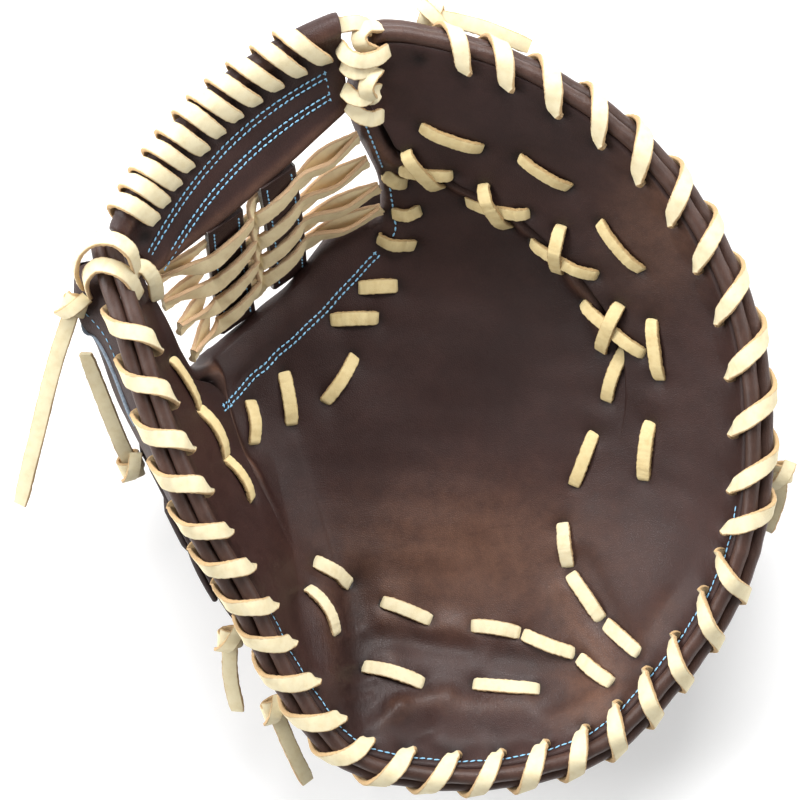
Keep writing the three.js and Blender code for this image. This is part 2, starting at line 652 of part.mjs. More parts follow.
const TACK_STEPS = 2;
const CROSS_STEPS = 4;
const SAMPLES_PER_STEP = 4;
function tack(row, steps, lift) {
  const ends = named(TACK_COLUMNS, row);
  const from = palmFace(ends.fromSection, ends.fromShare);
  const to = palmFace(ends.toSection, ends.toShare);
  const normal = palmNormal((ends.fromSection + ends.toSection) / 2, (ends.fromShare + ends.toShare) / 2);
  const side = to.clone().sub(from).cross(normal).normalize().multiplyScalar(LACE_WIDTH / 2);
  const samples = Array.from({ length: steps * SAMPLES_PER_STEP + 1 }, (_, i) => (
    between(from, to, i / (steps * SAMPLES_PER_STEP))));
  const heights = samples.map((middle) => {
    const hits = [-1, 0, 1].map((k) => onPalm(middle.clone().addScaledVector(side, k), normal));
    return Math.max(...hits.map((hit) => hit.sub(middle).dot(normal)));
  });
  const tight = pulledTight(heights);
  const rings = [];
  for (let i = 0; i <= steps; i += 1) {
    const k = i * SAMPLES_PER_STEP;
    const low = moved(samples[k], normal, tight[k] + lift);
    const high = moved(low, normal, i === 0 || i === steps ? LACE_THICKNESS / 2 : LACE_THICKNESS);
    const [lowLeft, lowRight] = [low.clone().add(side), low.clone().sub(side)];
    rings.push([lowLeft, lowRight, high.clone().sub(side), high.clone().add(side)]);
  }
  return loft(rings);
}
TACKS.forEach((row, i) => addPiece(`palm_tack_${i + 1}`, tack(row, TACK_STEPS, SEAT_GAP), RAWHIDE));
CROSSES.forEach((rows, i) => {
  const strands = rows.map((row) => tack(row, CROSS_STEPS, 2 * SEAT_GAP));
  addPiece(`seam_cross_${i + 1}`, joined(strands), RAWHIDE);
});

// Web bar: a panel with a thick rolled top edge, laced over like the rim.
const corners = Object.fromEntries(Object.entries(BAR_CORNERS).map(([name, at]) => [name, placed(at)]));
const barLength = corners.topThumb.distanceTo(corners.topFinger);
function barFrame(share) {
  const chord = corners.topFinger.clone().sub(corners.topThumb).normalize();
  const outward = new THREE.Vector3(-chord.y, chord.x, 0);
  const arch = 4 * share * (1 - share);
  const slope = 4 * (1 - 2 * share) * (BAR_BOW / barLength);
  const along = chord.clone().addScaledVector(outward, slope).normalize();
  const top = moved(between(corners.topThumb, corners.topFinger, share), outward, BAR_BOW * arch);
  const low = moved(between(corners.lowThumb, corners.lowFinger, share), outward, -BAR_SAG * arch);
  const down = low.clone().sub(top).normalize();
  const square = down.clone().cross(along).normalize();
  return { top, low, down, along, square, chord };
}
const barSlots = Array.from({ length: BAR_TURNS + 1 }, (_, i) => (
  mix(BAR_MARGIN, 1 - BAR_MARGIN, i / BAR_TURNS)));
const barColumns = [{ share: 0, slot: false }];
for (const share of barSlots) {
  barColumns.push({ share: share - BAR_SLOT_WIDTH / 2 / barLength, slot: true });
  barColumns.push({ share: share + BAR_SLOT_WIDTH / 2 / barLength, slot: false });
}
barColumns.push({ share: 1, slot: false });
// Distance down from the top edge, and thickness there. The roll has its full thickness in row 1.
const BAR_SHOULDER = BAR_ROLL * 0.3;
const BAR_NECK = BAR_ROLL * 1.1;
const BAR_ROWS = [
  [0, BAR_ROLL * 0.4],
  [BAR_SHOULDER, BAR_ROLL],
  [BAR_NECK, BAR_PANEL],
  [BAR_NECK + SLOT_LENGTH, BAR_PANEL],
  [Infinity, BAR_PANEL],
];
const BAR_SLOT_ROW = 2;
function barSide(side) {
  return barColumns.map(({ share }) => {
    const { top, low, down, square } = barFrame(share);
    return BAR_ROWS.map(([drop, thickness]) => {
      const middle = moved(top, down, Math.min(drop, top.distanceTo(low)));
      return moved(middle, square, (side * thickness) / 2);
    });
  });
}
const barKept = (i, j) => !(barColumns[i].slot && j === BAR_SLOT_ROW);
addPiece('web_bar', sheetSolid(barSide(1), barSide(-1), barKept), LEATHER);

const BAR_OVER = BAR_ROLL / 2 + SEAT_GAP + LACE_THICKNESS / 2;
const BAR_CROWN = 3 * SEAT_GAP + LACE_THICKNESS;
const BAR_CORNER = BAR_ROLL / 5;
const BAR_SLOT_DROP = BAR_NECK + SLOT_LENGTH / 2;
const BAR_TURN = [
  [BAR_PANEL / 2, -BAR_SLOT_DROP, 0, -1, 0],
  [BAR_OVER - LACE_BEND, LACE_BEND - BAR_SLOT_DROP, 1, -1, 0],
  [BAR_OVER, -BAR_CORNER, 0.9, 0.5, 0.25],
  [0, BAR_CROWN, 0, 1, 0.5],
  [-BAR_OVER, -BAR_CORNER, -0.9, 0.5, 0.75],
  [LACE_BEND - BAR_OVER, LACE_BEND - BAR_SLOT_DROP, -1, -1, 1],
  [-BAR_PANEL / 2, -BAR_SLOT_DROP, 0, -1, 1],
];
const barRings = [];
for (let i = 0; i < BAR_TURNS; i += 1) {
  for (const row of BAR_TURN) {
    const turn = named(LACE_TURN_COLUMNS, row);
    const { top, down, along, square } = barFrame(mix(barSlots[i], barSlots[i + 1], turn.advance));
    const middle = moved(moved(top, square, turn.square), down, -turn.rise);
    const face = square.clone().multiplyScalar(turn.faceSquare).addScaledVector(down, -turn.faceRise);
    barRings.push(flatRing(middle, along.multiplyScalar(LACE_WIDTH / 2),
      face.multiplyScalar(LACE_THICKNESS / 2)));
  }
}
addPiece('web_bar_lace', loft(barRings), RAWHIDE);

// Web posts stand on the lip of the palm and reach up to the bar.
const posts = POSTS.map(([share, section]) => {
  const { low, chord } = barFrame(share);
  const edge = edgePoint(section);
  const away = edge.clone().sub(palmFace(section, STEP)).setZ(0).normalize();
  const underLip = moved(edge, palmNormal(section, 0), -LIP_DROP - LIP_EDGE);
  const foot = moved(underLip, away, POST_THICKNESS / 2 + POST_CLEAR);
  const line = low.clone().sub(foot).normalize();
  const side = chord.clone().addScaledVector(line, -chord.dot(line)).normalize();
  const face = side.clone().cross(line).normalize();
  return { head: moved(low, line, -BAR_PANEL / 2 - BAR_CLEAR), foot, side, face };
});
posts.forEach(({ head, foot, side, face }, i) => {
  const rings = [head, foot].map((middle) => flatRing(middle,
    side.clone().multiplyScalar(POST_WIDTH / 2), face.clone().multiplyScalar(POST_THICKNESS / 2)));
  addPiece(`web_post_${i + 1}`, loft(rings), LEATHER);
});

// Web lace: each row is a front and a back strand that meet between the posts.
function strand(points) {
  const rings = points.map((middle, i) => {
    const before = points[Math.max(i - 1, 0)];
    const after = points[Math.min(i + 1, points.length - 1)];
    const along = after.clone().sub(before).normalize();
    const face = posts[0].face.clone().addScaledVector(along, -posts[0].face.dot(along)).normalize();
    const side = along.cross(face);
    return flatRing(middle, side.multiplyScalar(LACE_WIDTH / 2), face.multiplyScalar(LACE_THICKNESS / 2));
  });
  return loft(rings);
}
const WEAVE = POST_THICKNESS / 2 + 2 * SEAT_GAP + LACE_THICKNESS / 2;
WEB_ROWS.forEach(([thumbSection, ...rest], i) => {
  const fingerSection = rest.pop();
  const crossings = posts.map((post, k) => ({ at: between(post.head, post.foot, rest[k]), post }));
  const start = edgePoint(thumbSection);
  const end = edgePoint(fingerSection);
  const line = end.clone().sub(start).normalize();
  const from = moved(moved(start, UP, -LIP_DROP), line, LIP_EDGE / 2);
  const to = moved(moved(end, UP, -LIP_DROP), line, -LIP_EDGE / 2);
  const strands = [1, -1].map((side) => {
    const points = [from];
    crossings.forEach(({ at, post }, k) => {
      if (k > 0) {
        points.push(between(crossings[0].at, crossings[1].at, 0.5));
      }
      points.push(moved(moved(at, post.face, side * WEAVE), post.side, -POST_WIDTH / 2 - LACE_WIDTH / 2));
      points.push(moved(moved(at, post.face, side * WEAVE), post.side, POST_WIDTH / 2 + LACE_WIDTH / 2));
    });
    points.push(to);
    return strand(points);
  });
  addPiece(`web_lace_${i + 1}`, joined(strands), RAWHIDE);
});

// Wrist strap: outside the thumb back, across the opening, and flush against the finger back.
const strapRows = (u) => {
  const rows = rowsAt(u);
  return [mix(rows[3], rows[4], STRAP_TOP), rows[4], rows[5], mix(rows[5], rows[6], STRAP_LOW)];
};
const strapSpace = (u, v) => {
  const beyond = clamp((u - STRAP_LEAVES_THUMB) / STRAP_LEAVING_RUN, 0, 1);
  return backSpace(u, v) + mix(SEAT_GAP + STRAP_WALL, 0, beyond);
};
const strapEnd = sectionAtLength(fingerStart - STRAP_WALL / 2);
const strapColumns = evenColumns(STRAP_START, strapEnd, STRAP_COLUMNS);
addPiece('wrist_strap', backSheet(strapColumns, strapRows, strapSpace, STRAP_WALL), FELT);

// The strap's keeper sits on the strap, and its tongue lies along the heel outside the lining.
const keeperRows = (u) => KEEPER_EDGES.map((f) => mix(rowsAt(u)[3], rowsAt(u)[4], f));
const keeperSpace = (u, v) => strapSpace(u, v) + SEAT_GAP + TAB_WALL;
const keeperColumns = evenColumns(...KEEPER);
addPiece('strap_keeper', backSheet(keeperColumns, keeperRows, keeperSpace, TAB_WALL), LEATHER);
const tongueRows = (u) => TONGUE_EDGES.map((d) => shareInside(u, d));
const tongueSpace = (u, v) => backSpace(u, v) + TONGUE_STAND;
const tongueColumns = evenColumns(...TONGUE);
addPiece('strap_tongue', backSheet(tongueColumns, tongueRows, tongueSpace, TAB_WALL), LEATHER);

// A flat thong along a smooth path.
function thong(shares) {
  const path = new THREE.CatmullRomCurve3(shares.map(placed));
  const count = 2 * (shares.length - 1);
  return loft(path.getPoints(count).map((middle, i) => {
    const along = path.getTangent(i / count);
    const side = along.clone().cross(UP).normalize();
    const face = side.clone().cross(along);
    return flatRing(middle, side.multiplyScalar(LACE_WIDTH / 2), face.multiplyScalar(LACE_THICKNESS / 2));
  }));
}

// Lace ends: a thong that hangs from a knot.
function laceEnd(shares) {
  const knot = new THREE.SphereGeometry(0.5, KNOT_SIDES, KNOT_RINGS);
  knot.deleteAttribute('normal');
  knot.deleteAttribute('uv');
  const start = placed(shares[0]);
  knot.scale(KNOT_WIDTH, KNOT_LENGTH, KNOT_HEIGHT);
  knot.translate(start.x, start.y, start.z);
  return joined([thong(shares), mergeVertices(knot)]);
}
for (const [name, shares] of Object.entries(LACE_ENDS)) {
  addPiece(name, laceEnd(shares), RAWHIDE);
}

// Ties of lace that hold the ends of the web bar to the thumb tip and to the first finger.
for (const [name, strands] of Object.entries(TIES)) {
  addPiece(name, joined(strands.map(thong)), RAWHIDE);
}

const middle = new THREE.Box3().setFromObject(mitt).getCenter(new THREE.Vector3());
mitt.position.set(-middle.x, -middle.y, 0);

export default mitt;
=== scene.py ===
# %% [markdown]
# A first base mitt lies on its back with the pocket up. It is a big padded palm, laced all round to
# two thinner backs with rawhide, with a web of leather and lace between thumb and first finger.
# The CAD model gives the place of every piece. This lesson dresses each one in leather and lace.

# %% Load the frame
import math
import bmesh
import bpy
import numpy as np
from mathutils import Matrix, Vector


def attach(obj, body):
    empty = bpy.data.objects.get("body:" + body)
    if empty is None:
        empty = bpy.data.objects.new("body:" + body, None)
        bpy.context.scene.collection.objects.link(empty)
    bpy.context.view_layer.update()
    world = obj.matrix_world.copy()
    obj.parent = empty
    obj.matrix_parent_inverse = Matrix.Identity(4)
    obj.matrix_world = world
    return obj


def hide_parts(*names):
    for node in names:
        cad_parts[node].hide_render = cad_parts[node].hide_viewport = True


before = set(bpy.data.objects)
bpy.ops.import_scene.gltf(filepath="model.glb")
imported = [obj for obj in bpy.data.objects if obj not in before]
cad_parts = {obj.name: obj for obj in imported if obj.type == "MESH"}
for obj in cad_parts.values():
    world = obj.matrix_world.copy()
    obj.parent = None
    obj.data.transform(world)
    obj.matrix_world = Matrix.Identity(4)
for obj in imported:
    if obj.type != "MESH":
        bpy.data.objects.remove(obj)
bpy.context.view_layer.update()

# %% [markdown]
# The camera comes first, because everything is judged from its place. The photograph looks straight
# down into the pocket from about 1.5 metres, so a long lens keeps the rim nearly free of perspective.
# One picture width is 328 mm at the height of the rim.

# %% Camera above the pocket
EYE_HEIGHT = 1.5
VIEW_WIDTH = 0.328
VIEW_DISTANCE = 1.43
MIDDLE = np.array([0.00207, 0.00446, 0.0])

camera_data = bpy.data.cameras.new("photo_camera")
camera_data.sensor_width = 36
camera_data.lens = camera_data.sensor_width * VIEW_DISTANCE / VIEW_WIDTH
camera = bpy.data.objects.new("photo_camera", camera_data)
camera.location = (MIDDLE[0], MIDDLE[1], EYE_HEIGHT)
bpy.context.collection.objects.link(camera)
bpy.context.scene.camera = camera
print("lens", round(camera_data.lens, 1), "mm")

# %% [markdown]
# The shape of the palm follows a rule, so it is worked out from a table of cross-sections. Each row
# holds a point on the rim and one on the free inner edge, and how the leather dips between them.
# A smooth curve through each column gives every section in between.

# %% Cross-sections of the palm
WIDTH, LENGTH, DEPTH = 0.290, 0.308, 0.120
COLUMNS = ("rim_x rim_y rim_z edge_x edge_y edge_z lean reach dip inset seam fold space").split()
SECTIONS = np.array([
    [-0.405, 0.209, 0.958, -0.365, 0.185, 0.858, 80, 0.30, 0.90, 0.35, 0.35, 0.000, 0.60],
    [-0.394, 0.167, 0.983, -0.351, 0.146, 0.808, 85, 0.35, 0.84, 0.35, 0.35, 0.000, 0.74],
    [-0.371, 0.100, 1.000, -0.318, 0.095, 0.733, 88, 0.40, 0.78, 0.35, 0.32, 0.000, 0.82],
    [-0.347, 0.019, 0.975, -0.291, 0.043, 0.583, 90, 0.45, 0.62, 0.30, 0.25, 0.000, 0.84],
    [-0.313, -0.078, 0.933, -0.280, 0.046, 0.475, 90, 0.45, 0.52, 0.25, 0.20, 0.020, 0.84],
    [-0.268, -0.176, 0.850, -0.264, 0.058, 0.425, 88, 0.40, 0.38, 0.25, 0.27, 0.045, 0.84],
    [-0.216, -0.266, 0.733, -0.244, 0.074, 0.400, 82, 0.35, 0.31, 0.26, 0.50, 0.035, 0.86],
    [-0.161, -0.377, 0.583, -0.223, 0.093, 0.383, 68, 0.30, 0.27, 0.26, 0.60, 0.000, 0.90],
    [-0.079, -0.480, 0.467, -0.201, 0.112, 0.375, 52, 0.30, 0.25, 0.26, 0.62, 0.000, 0.95],
    [0.043, -0.512, 0.417, -0.180, 0.131, 0.367, 45, 0.30, 0.24, 0.26, 0.62, 0.000, 1.00],
    [0.172, -0.508, 0.417, -0.158, 0.149, 0.367, 45, 0.30, 0.24, 0.24, 0.62, 0.000, 1.00],
    [0.295, -0.467, 0.450, -0.140, 0.167, 0.367, 48, 0.30, 0.22, 0.24, 0.62, 0.000, 1.00],
    [0.387, -0.377, 0.517, -0.122, 0.187, 0.375, 54, 0.30, 0.20, 0.24, 0.63, 0.000, 1.00],
    [0.457, -0.275, 0.617, -0.105, 0.203, 0.383, 60, 0.30, 0.19, 0.24, 0.65, 0.000, 1.00],
    [0.494, -0.171, 0.700, -0.086, 0.219, 0.392, 64, 0.30, 0.19, 0.24, 0.66, 0.000, 1.00],
    [0.501, -0.052, 0.767, -0.066, 0.227, 0.400, 66, 0.30, 0.20, 0.24, 0.66, 0.012, 0.98],
    [0.488, 0.072, 0.817, -0.043, 0.226, 0.408, 64, 0.30, 0.25, 0.26, 0.63, 0.035, 0.95],
    [0.446, 0.183, 0.858, -0.023, 0.236, 0.433, 60, 0.30, 0.32, 0.28, 0.56, 0.050, 0.92],
    [0.376, 0.288, 0.892, -0.021, 0.262, 0.483, 54, 0.30, 0.42, 0.30, 0.46, 0.050, 0.88],
    [0.282, 0.371, 0.917, -0.024, 0.288, 0.550, 46, 0.30, 0.52, 0.30, 0.32, 0.050, 0.84],
    [0.165, 0.435, 0.933, -0.038, 0.318, 0.633, 38, 0.30, 0.64, 0.30, 0.22, 0.045, 0.78],
    [0.055, 0.468, 0.950, -0.053, 0.350, 0.725, 35, 0.30, 0.74, 0.30, 0.20, 0.020, 0.70],
    [-0.016, 0.477, 0.958, -0.062, 0.385, 0.808, 40, 0.30, 0.82, 0.30, 0.28, 0.000, 0.60],
    [-0.047, 0.469, 0.958, -0.066, 0.422, 0.883, 50, 0.30, 0.90, 0.30, 0.32, 0.000, 0.50],
])
LAST = len(SECTIONS) - 1
SCALE = np.array([WIDTH, LENGTH, DEPTH])


def catmull(a, b, c, d, f):
    """A smooth curve from b at 0 to c at 1, led by the neighbours a and d."""
    return 0.5 * (2 * b + (c - a) * f + (2 * a - 5 * b + 4 * c - d) * f**2
                  + (3 * b - a - 3 * c + d) * f**3)


def column(name, u):
    """One column of the table at section numbers u, on a smooth curve."""
    values = SECTIONS[:, COLUMNS.index(name)]
    u = np.clip(np.asarray(u, float), 0, LAST)
    i = np.minimum(u.astype(int), LAST - 1)
    f = u - i
    b, c = values[i], values[i + 1]
    a = np.where(i > 0, values[np.maximum(i - 1, 0)], 2 * b - c)
    d = np.where(i + 2 <= LAST, values[np.minimum(i + 2, LAST)], 2 * c - b)
    return catmull(a, b, c, d, f)


def placed(shares):
    """A point given as shares of width, length and depth, in metres."""
    return np.asarray(shares, float) * SCALE + MIDDLE


def rim_point(u):
    return placed(np.stack([column("rim_x", u), column("rim_y", u), column("rim_z", u)], -1))


def edge_point(u):
    return placed(np.stack([column("edge_x", u), column("edge_y", u), column("edge_z", u)], -1))


def unit(a):
    return a / np.maximum(np.linalg.norm(a, axis=-1, keepdims=True), 1e-12)


print("sections", SECTIONS.shape)

# %% [markdown]
# Along the rim the leather has its own three directions: along the rim, the way the palm rises, and
# square to the palm. The face of the palm is a cubic curve from the inner edge at share 0 to the
# welt at share 1, so one call gives any point of the leather.

# %% The face of the palm
WELT = 0.0072
WELT_STAND = 0.0008
GAP = 0.0003
STEP = 0.02


def rim_frame(u):
    """Point, along, rise and square at section numbers u."""
    u = np.asarray(u, float)
    along = unit(rim_point(np.minimum(u + STEP, LAST)) - rim_point(np.maximum(u - STEP, 0)))
    outward = unit(np.stack([along[..., 1], -along[..., 0], 0 * along[..., 0]], -1))
    lean = np.radians(column("lean", u))[..., None]
    rise = np.cos(lean) * outward + np.sin(lean) * np.array([0, 0, 1.0])
    rise = unit(rise - (rise * along).sum(-1, keepdims=True) * along)
    return rim_point(u), along, rise, np.cross(rise, along)


def palm_face(u, v):
    """The palm's face at section numbers u and shares v."""
    u, v = np.broadcast_arrays(np.asarray(u, float), np.asarray(v, float))
    point, _, rise, square = rim_frame(u)
    top = point + square * (WELT - WELT_STAND) - rise * (WELT / 2 + GAP)
    edge = edge_point(u)
    dip = edge + (top - edge) * column("inset", u)[..., None]
    dip[..., 2] = column("dip", u) * DEPTH
    chord = np.linalg.norm(top - edge, axis=-1, keepdims=True)
    steep = top - rise * chord * column("reach", u)[..., None]
    v = v[..., None]
    w = 1 - v
    return edge * w**3 + 3 * dip * v * w**2 + 3 * steep * v**2 * w + top * v**3


def palm_normal(u, v):
    u, v = np.broadcast_arrays(np.asarray(u, float), np.asarray(v, float))
    across = palm_face(u, np.minimum(v + STEP, 1)) - palm_face(u, np.maximum(v - STEP, 0))
    along = palm_face(np.minimum(u + STEP, LAST), v) - palm_face(np.maximum(u - STEP, 0), v)
    return unit(np.cross(across, along))


SHARE_COUNT = 81
_shares = np.linspace(1, 0, SHARE_COUNT)


def share_inside(u, distance):
    """The share that lies a distance in from the welt, for arrays of sections and distances."""
    u, distance = np.broadcast_arrays(np.asarray(u, float), np.asarray(distance, float))
    line = palm_face(u[..., None], _shares)
    run = np.concatenate([np.zeros(u.shape + (1,)), np.cumsum(
        np.linalg.norm(np.diff(line, axis=-2), axis=-1), -1)], -1)
    flat_run, flat_d = run.reshape(-1, SHARE_COUNT), distance.reshape(-1)
    return np.array([np.interp(d, r, _shares) for d, r in zip(flat_d, flat_run)]).reshape(u.shape)


SLOT_INSET, SLOT_LENGTH = 0.003, 0.0055
SQUARE_FADE = 0.15


def sheet_normal(u, v):
    """Square to the leather, and square to the welts within the laced edge."""
    u, v = np.broadcast_arrays(np.asarray(u, float), np.asarray(v, float))
    square = rim_frame(u)[3]
    slot = share_inside(u[:, 0], SLOT_INSET + SLOT_LENGTH)[:, None] if u.ndim > 1 else share_inside(
        u, SLOT_INSET + SLOT_LENGTH)
    inside = np.clip((slot - v) / SQUARE_FADE, 0, 1)[..., None]
    return unit(square + (palm_normal(u, v) - square) * inside)


_fine = np.linspace(0, LAST, 1201)
_rim_run = np.concatenate([[0], np.cumsum(np.linalg.norm(np.diff(rim_point(_fine), axis=0), axis=1))])
RIM_LENGTH = float(_rim_run[-1])


def section_at(length):
    return np.interp(length, _rim_run, _fine)


def length_at(u):
    return np.interp(u, _fine, _rim_run)


print("rim length", round(RIM_LENGTH * 1000), "mm")

# %% [markdown]
# The lace goes through slots along the rim. Their places were read off the photograph as shares of
# the rim's length, with a few even steps between two shares. Every later piece that touches the
# lace, such as the dimples in the leather, uses the same list.

# %% Lace slots
SLOT_ZONES = [
    (2, 0.095), (3, 0.1745), (3, 0.249), (4, 0.358),
    (7, 0.542), (7, 0.767), (5, 0.917), (2, 0.968),
]
FIRST_SLOT = 0.0355
slots = [FIRST_SLOT * RIM_LENGTH]
for count, share in SLOT_ZONES:
    start = slots[-1]
    slots += [start + (share * RIM_LENGTH - start) * i / count for i in range(1, count + 1)]
MEETING_SLOT, MEETING_SPREAD = 21, 0.0056
meeting = slots[MEETING_SLOT]
slots[MEETING_SLOT:MEETING_SLOT + 1] = [meeting - MEETING_SPREAD, meeting + MEETING_SPREAD]
slots = np.array(slots)
thumb_slots = slots[:MEETING_SLOT + 1][::-1]
finger_slots = slots[MEETING_SLOT + 1:]

TACKS = np.array([
    [20.33, 0.42, 19.53, 0.54], [19.12, 0.63, 18.46, 0.69], [17.76, 0.71, 17.06, 0.76],
    [15.50, 0.65, 14.60, 0.62], [16.20, 0.74, 15.36, 0.74], [14.61, 0.72, 13.73, 0.73],
    [13.79, 0.61, 12.78, 0.62], [12.20, 0.65, 11.93, 0.70], [11.88, 0.72, 11.83, 0.81],
    [11.84, 0.83, 11.93, 0.92], [10.06, 0.70, 10.60, 0.735], [10.70, 0.745, 11.27, 0.82],
    [11.33, 0.84, 11.48, 0.92], [9.74, 0.81, 10.49, 0.85], [8.84, 0.63, 9.41, 0.67],
    [8.28, 0.77, 9.00, 0.80], [7.50, 0.57, 8.33, 0.59], [7.19, 0.67, 7.56, 0.73],
    [12.79, 0.12, 13.73, 0.17], [11.09, 0.12, 12.31, 0.18], [10.88, 0.20, 9.35, 0.24],
    [8.38, 0.16, 8.04, 0.26], [6.58, 0.23, 6.44, 0.35], [2.75, 0.39, 4.04, 0.46],
    [4.10, 0.47, 5.10, 0.55], [5.16, 0.56, 5.88, 0.61],
    [19.20, 0.04, 18.93, 0.10], [17.60, 0.04, 17.80, 0.12], [15.76, 0.05, 16.10, 0.13],
])
CROSSES = np.array([
    [[19.51, 0.14, 19.16, 0.34], [19.98, 0.26, 18.70, 0.24]],
    [[18.11, 0.30, 18.06, 0.50], [18.74, 0.42, 17.59, 0.40]],
    [[17.32, 0.46, 16.91, 0.62], [17.73, 0.58, 16.80, 0.51]],
    [[16.15, 0.56, 15.64, 0.70], [16.36, 0.66, 15.40, 0.60]],
])
tack_ends = np.concatenate([TACKS.reshape(-1, 2), CROSSES.reshape(-1, 2)])
slot_u = section_at(slots)
slot_v = share_inside(slot_u, SLOT_INSET + SLOT_LENGTH / 2)
print("slots", len(slots), "tacks", len(TACKS), "crosses", len(CROSSES))

# %% [markdown]
# Node trees are easier to read as sums. This small class wraps a socket of any node tree, so that an
# expression such as 1 - mask adds the Math nodes by itself. One function makes every other node: it
# takes the kind, the settings, and the values or links of the sockets.

# %% A socket that can be used in sums
class Value:
    """A socket of a node tree. Sums with it add Math nodes."""

    def __init__(self, tree, socket):
        self.tree, self.socket = tree, socket

    def math(self, operation, first, second=0.0):
        return node(self.tree, "ShaderNodeMath", {"operation": operation}, {0: first, 1: second})

    def __add__(self, other):
        return self.math("ADD", self, other)

    def __radd__(self, other):
        return self.math("ADD", other, self)

    def __sub__(self, other):
        return self.math("SUBTRACT", self, other)

    def __rsub__(self, other):
        return self.math("SUBTRACT", other, self)

    def __mul__(self, other):
        return self.math("MULTIPLY", self, other)

    def __rmul__(self, other):
        return self.math("MULTIPLY", other, self)

    def __truediv__(self, other):
        return self.math("DIVIDE", self, other)

    def __pow__(self, other):
        return self.math("POWER", self, other)

    def __abs__(self):
        return self.math("ABSOLUTE", self)

    def ramp(self, low, high, start=0.0, end=1.0):
        """start below low, end above high, and a smooth step between them."""
        return node(self.tree, "ShaderNodeMapRange", {"interpolation_type": "SMOOTHSTEP"}, {
            "Value": self, "From Min": low, "From Max": high, "To Min": start, "To Max": end})


def node(tree, kind, settings=None, inputs=None, output=0):
    """Adds a node with its settings and socket values or links, and gives back one output."""
    made = tree.nodes.new(kind)
    for name, value in (settings or {}).items():
        setattr(made, name, value)
    for key, value in (inputs or {}).items():
        if isinstance(value, Value):
            tree.links.new(value.socket, made.inputs[key])
        else:
            made.inputs[key].default_value = value
    return Value(tree, made.outputs[output]) if len(made.outputs) else None


def mixed(factor, a, b, blend="MIX"):
    """A colour between a and b. Numbers are colours with four parts."""
    return node(factor.tree, "ShaderNodeMix", {"data_type": "RGBA", "blend_type": blend}, {
        0: factor, 6: a, 7: b}, 2)


def colour(code, gain=1.0):
    """A web colour as linear light with alpha."""
    parts = [int(code[i:i + 2], 16) / 255 for i in (0, 2, 4)]
    linear = [c / 12.92 if c <= 0.04045 else ((c + 0.055) / 1.055) ** 2.4 for c in parts]
    return tuple(gain * c for c in linear) + (1.0,)


print("dark leather is", [round(c, 3) for c in colour("3b2c2a")])

# %% [markdown]
# Every finish is a Principled shader whose colour, roughness and bump come from noise on the
# piece's own coordinates, so the pattern stays on the leather when the camera moves. The steps that
# all finishes share are in one function.

# %% What all finishes share
def finish(name, build):
    """A material. build gives base colour, roughness, and bump height in metres, in one tree."""
    material = bpy.data.materials.new(name)
    material.use_nodes = True
    tree = material.node_tree
    tree.nodes.clear()
    spot = node(tree, "ShaderNodeTexCoord", output=3)
    base, rough, height, fixed = build(tree, spot)
    dents = node(tree, "ShaderNodeBump", None, {"Strength": 1.0, "Distance": 1.0, "Height": height})
    shader = node(tree, "ShaderNodeBsdfPrincipled", None, {
        "Base Color": base, "Roughness": rough, "Normal": dents, **fixed})
    node(tree, "ShaderNodeOutputMaterial", None, {"Surface": shader})
    return material


def noise(tree, spot, scale, detail=2.0, rough=0.5, stretch=None):
    if stretch:
        spot = node(tree, "ShaderNodeMapping", None, {"Vector": spot, "Scale": stretch})
    return node(tree, "ShaderNodeTexNoise", None, {
        "Vector": spot, "Scale": scale, "Detail": detail, "Roughness": rough})


def attribute(tree, name):
    """A number that is stored on the mesh's points."""
    return node(tree, "ShaderNodeAttribute", {"attribute_name": name}, output=2)


print("finishes are ready to build")

# %% [markdown]
# The dark leather is a smooth kip hide: brown, with painted shade that pulls it nearly to black in the
# hollows, a warm bronze that is partly wear and partly painted sheen on ridges and lit patches, fine
# pores, and small creases where it folds. The meshes carry three numbers for it: wear and painted
# sheen on ridges, painted shade in dimples and slits, and crease where the hide is bunched up.

# %% Dark leather
def leather(name, deep, plain, wear_and_sheen_tone, gloss=0.44, grain=0.00006):
    def build(tree, spot):
        wear, shade, crease = (attribute(tree, n) for n in ("wear", "shade", "crease"))
        cloud = noise(tree, spot, 14.0, 3.0, 0.6)
        mottle = noise(tree, spot, 160.0, 4.0, 0.65)
        pores = node(tree, "ShaderNodeTexVoronoi", {"feature": "DISTANCE_TO_EDGE"}, {
            "Vector": spot, "Scale": 1150.0, "Randomness": 1.0}).ramp(0.0, 0.25)
        fuzz = noise(tree, spot, 2600.0, 2.0)
        folds = noise(tree, spot, 420.0, 3.0, 0.6, (1.0, 0.22, 0.5))
        tone = (cloud * 0.9 + mottle * 0.35 - 0.22).ramp(0.2, 0.75)
        base = mixed(tone, colour(deep), colour(plain))
        # Wear and painted sheen lighten ridges and lit patches towards the bronze tone.
        base = mixed((wear * (0.55 + mottle * 0.7)).ramp(0.1, 1.0), base, colour(wear_and_sheen_tone))
        # Painted shade: the shade number darkens dimples, slits and hollows nearly to black.
        base = mixed(shade.ramp(0.0, 1.0, 0.0, 0.9), base, colour(deep, 0.28))
        base = mixed((1 - pores) * 0.22, base, colour(deep, 0.6))
        rough = gloss + mottle * 0.14 - wear * 0.07 + shade * 0.2 + (1 - pores) * 0.08
        height = pores * grain + fuzz * (grain * 0.5) + folds * crease * 0.0007 + mottle * 0.00006
        fixed = {"Coat Weight": 0.04, "Coat Roughness": 0.30, "Specular IOR Level": 0.32}
        return base, rough, height, fixed
    return finish(name, build)


dark_leather = leather("dark_leather", "2d1a17", "432a25", "7a5642", 0.38)
back_leather = leather("back_leather", "2b1b19", "3e2a26", "5e463a", 0.44)
roll_leather = leather("roll_leather", "35241f", "503731", "765a4b", 0.36, 0.00004)
print("three leathers")

# %% [markdown]
# Rawhide lace is cut from a thick pale hide. Its grain side is smooth and cream, its flesh side and
# cut edges are tan and furry. The sweep that makes each lace stores how far a point lies across the
# lace, so the finish knows an edge from the face.

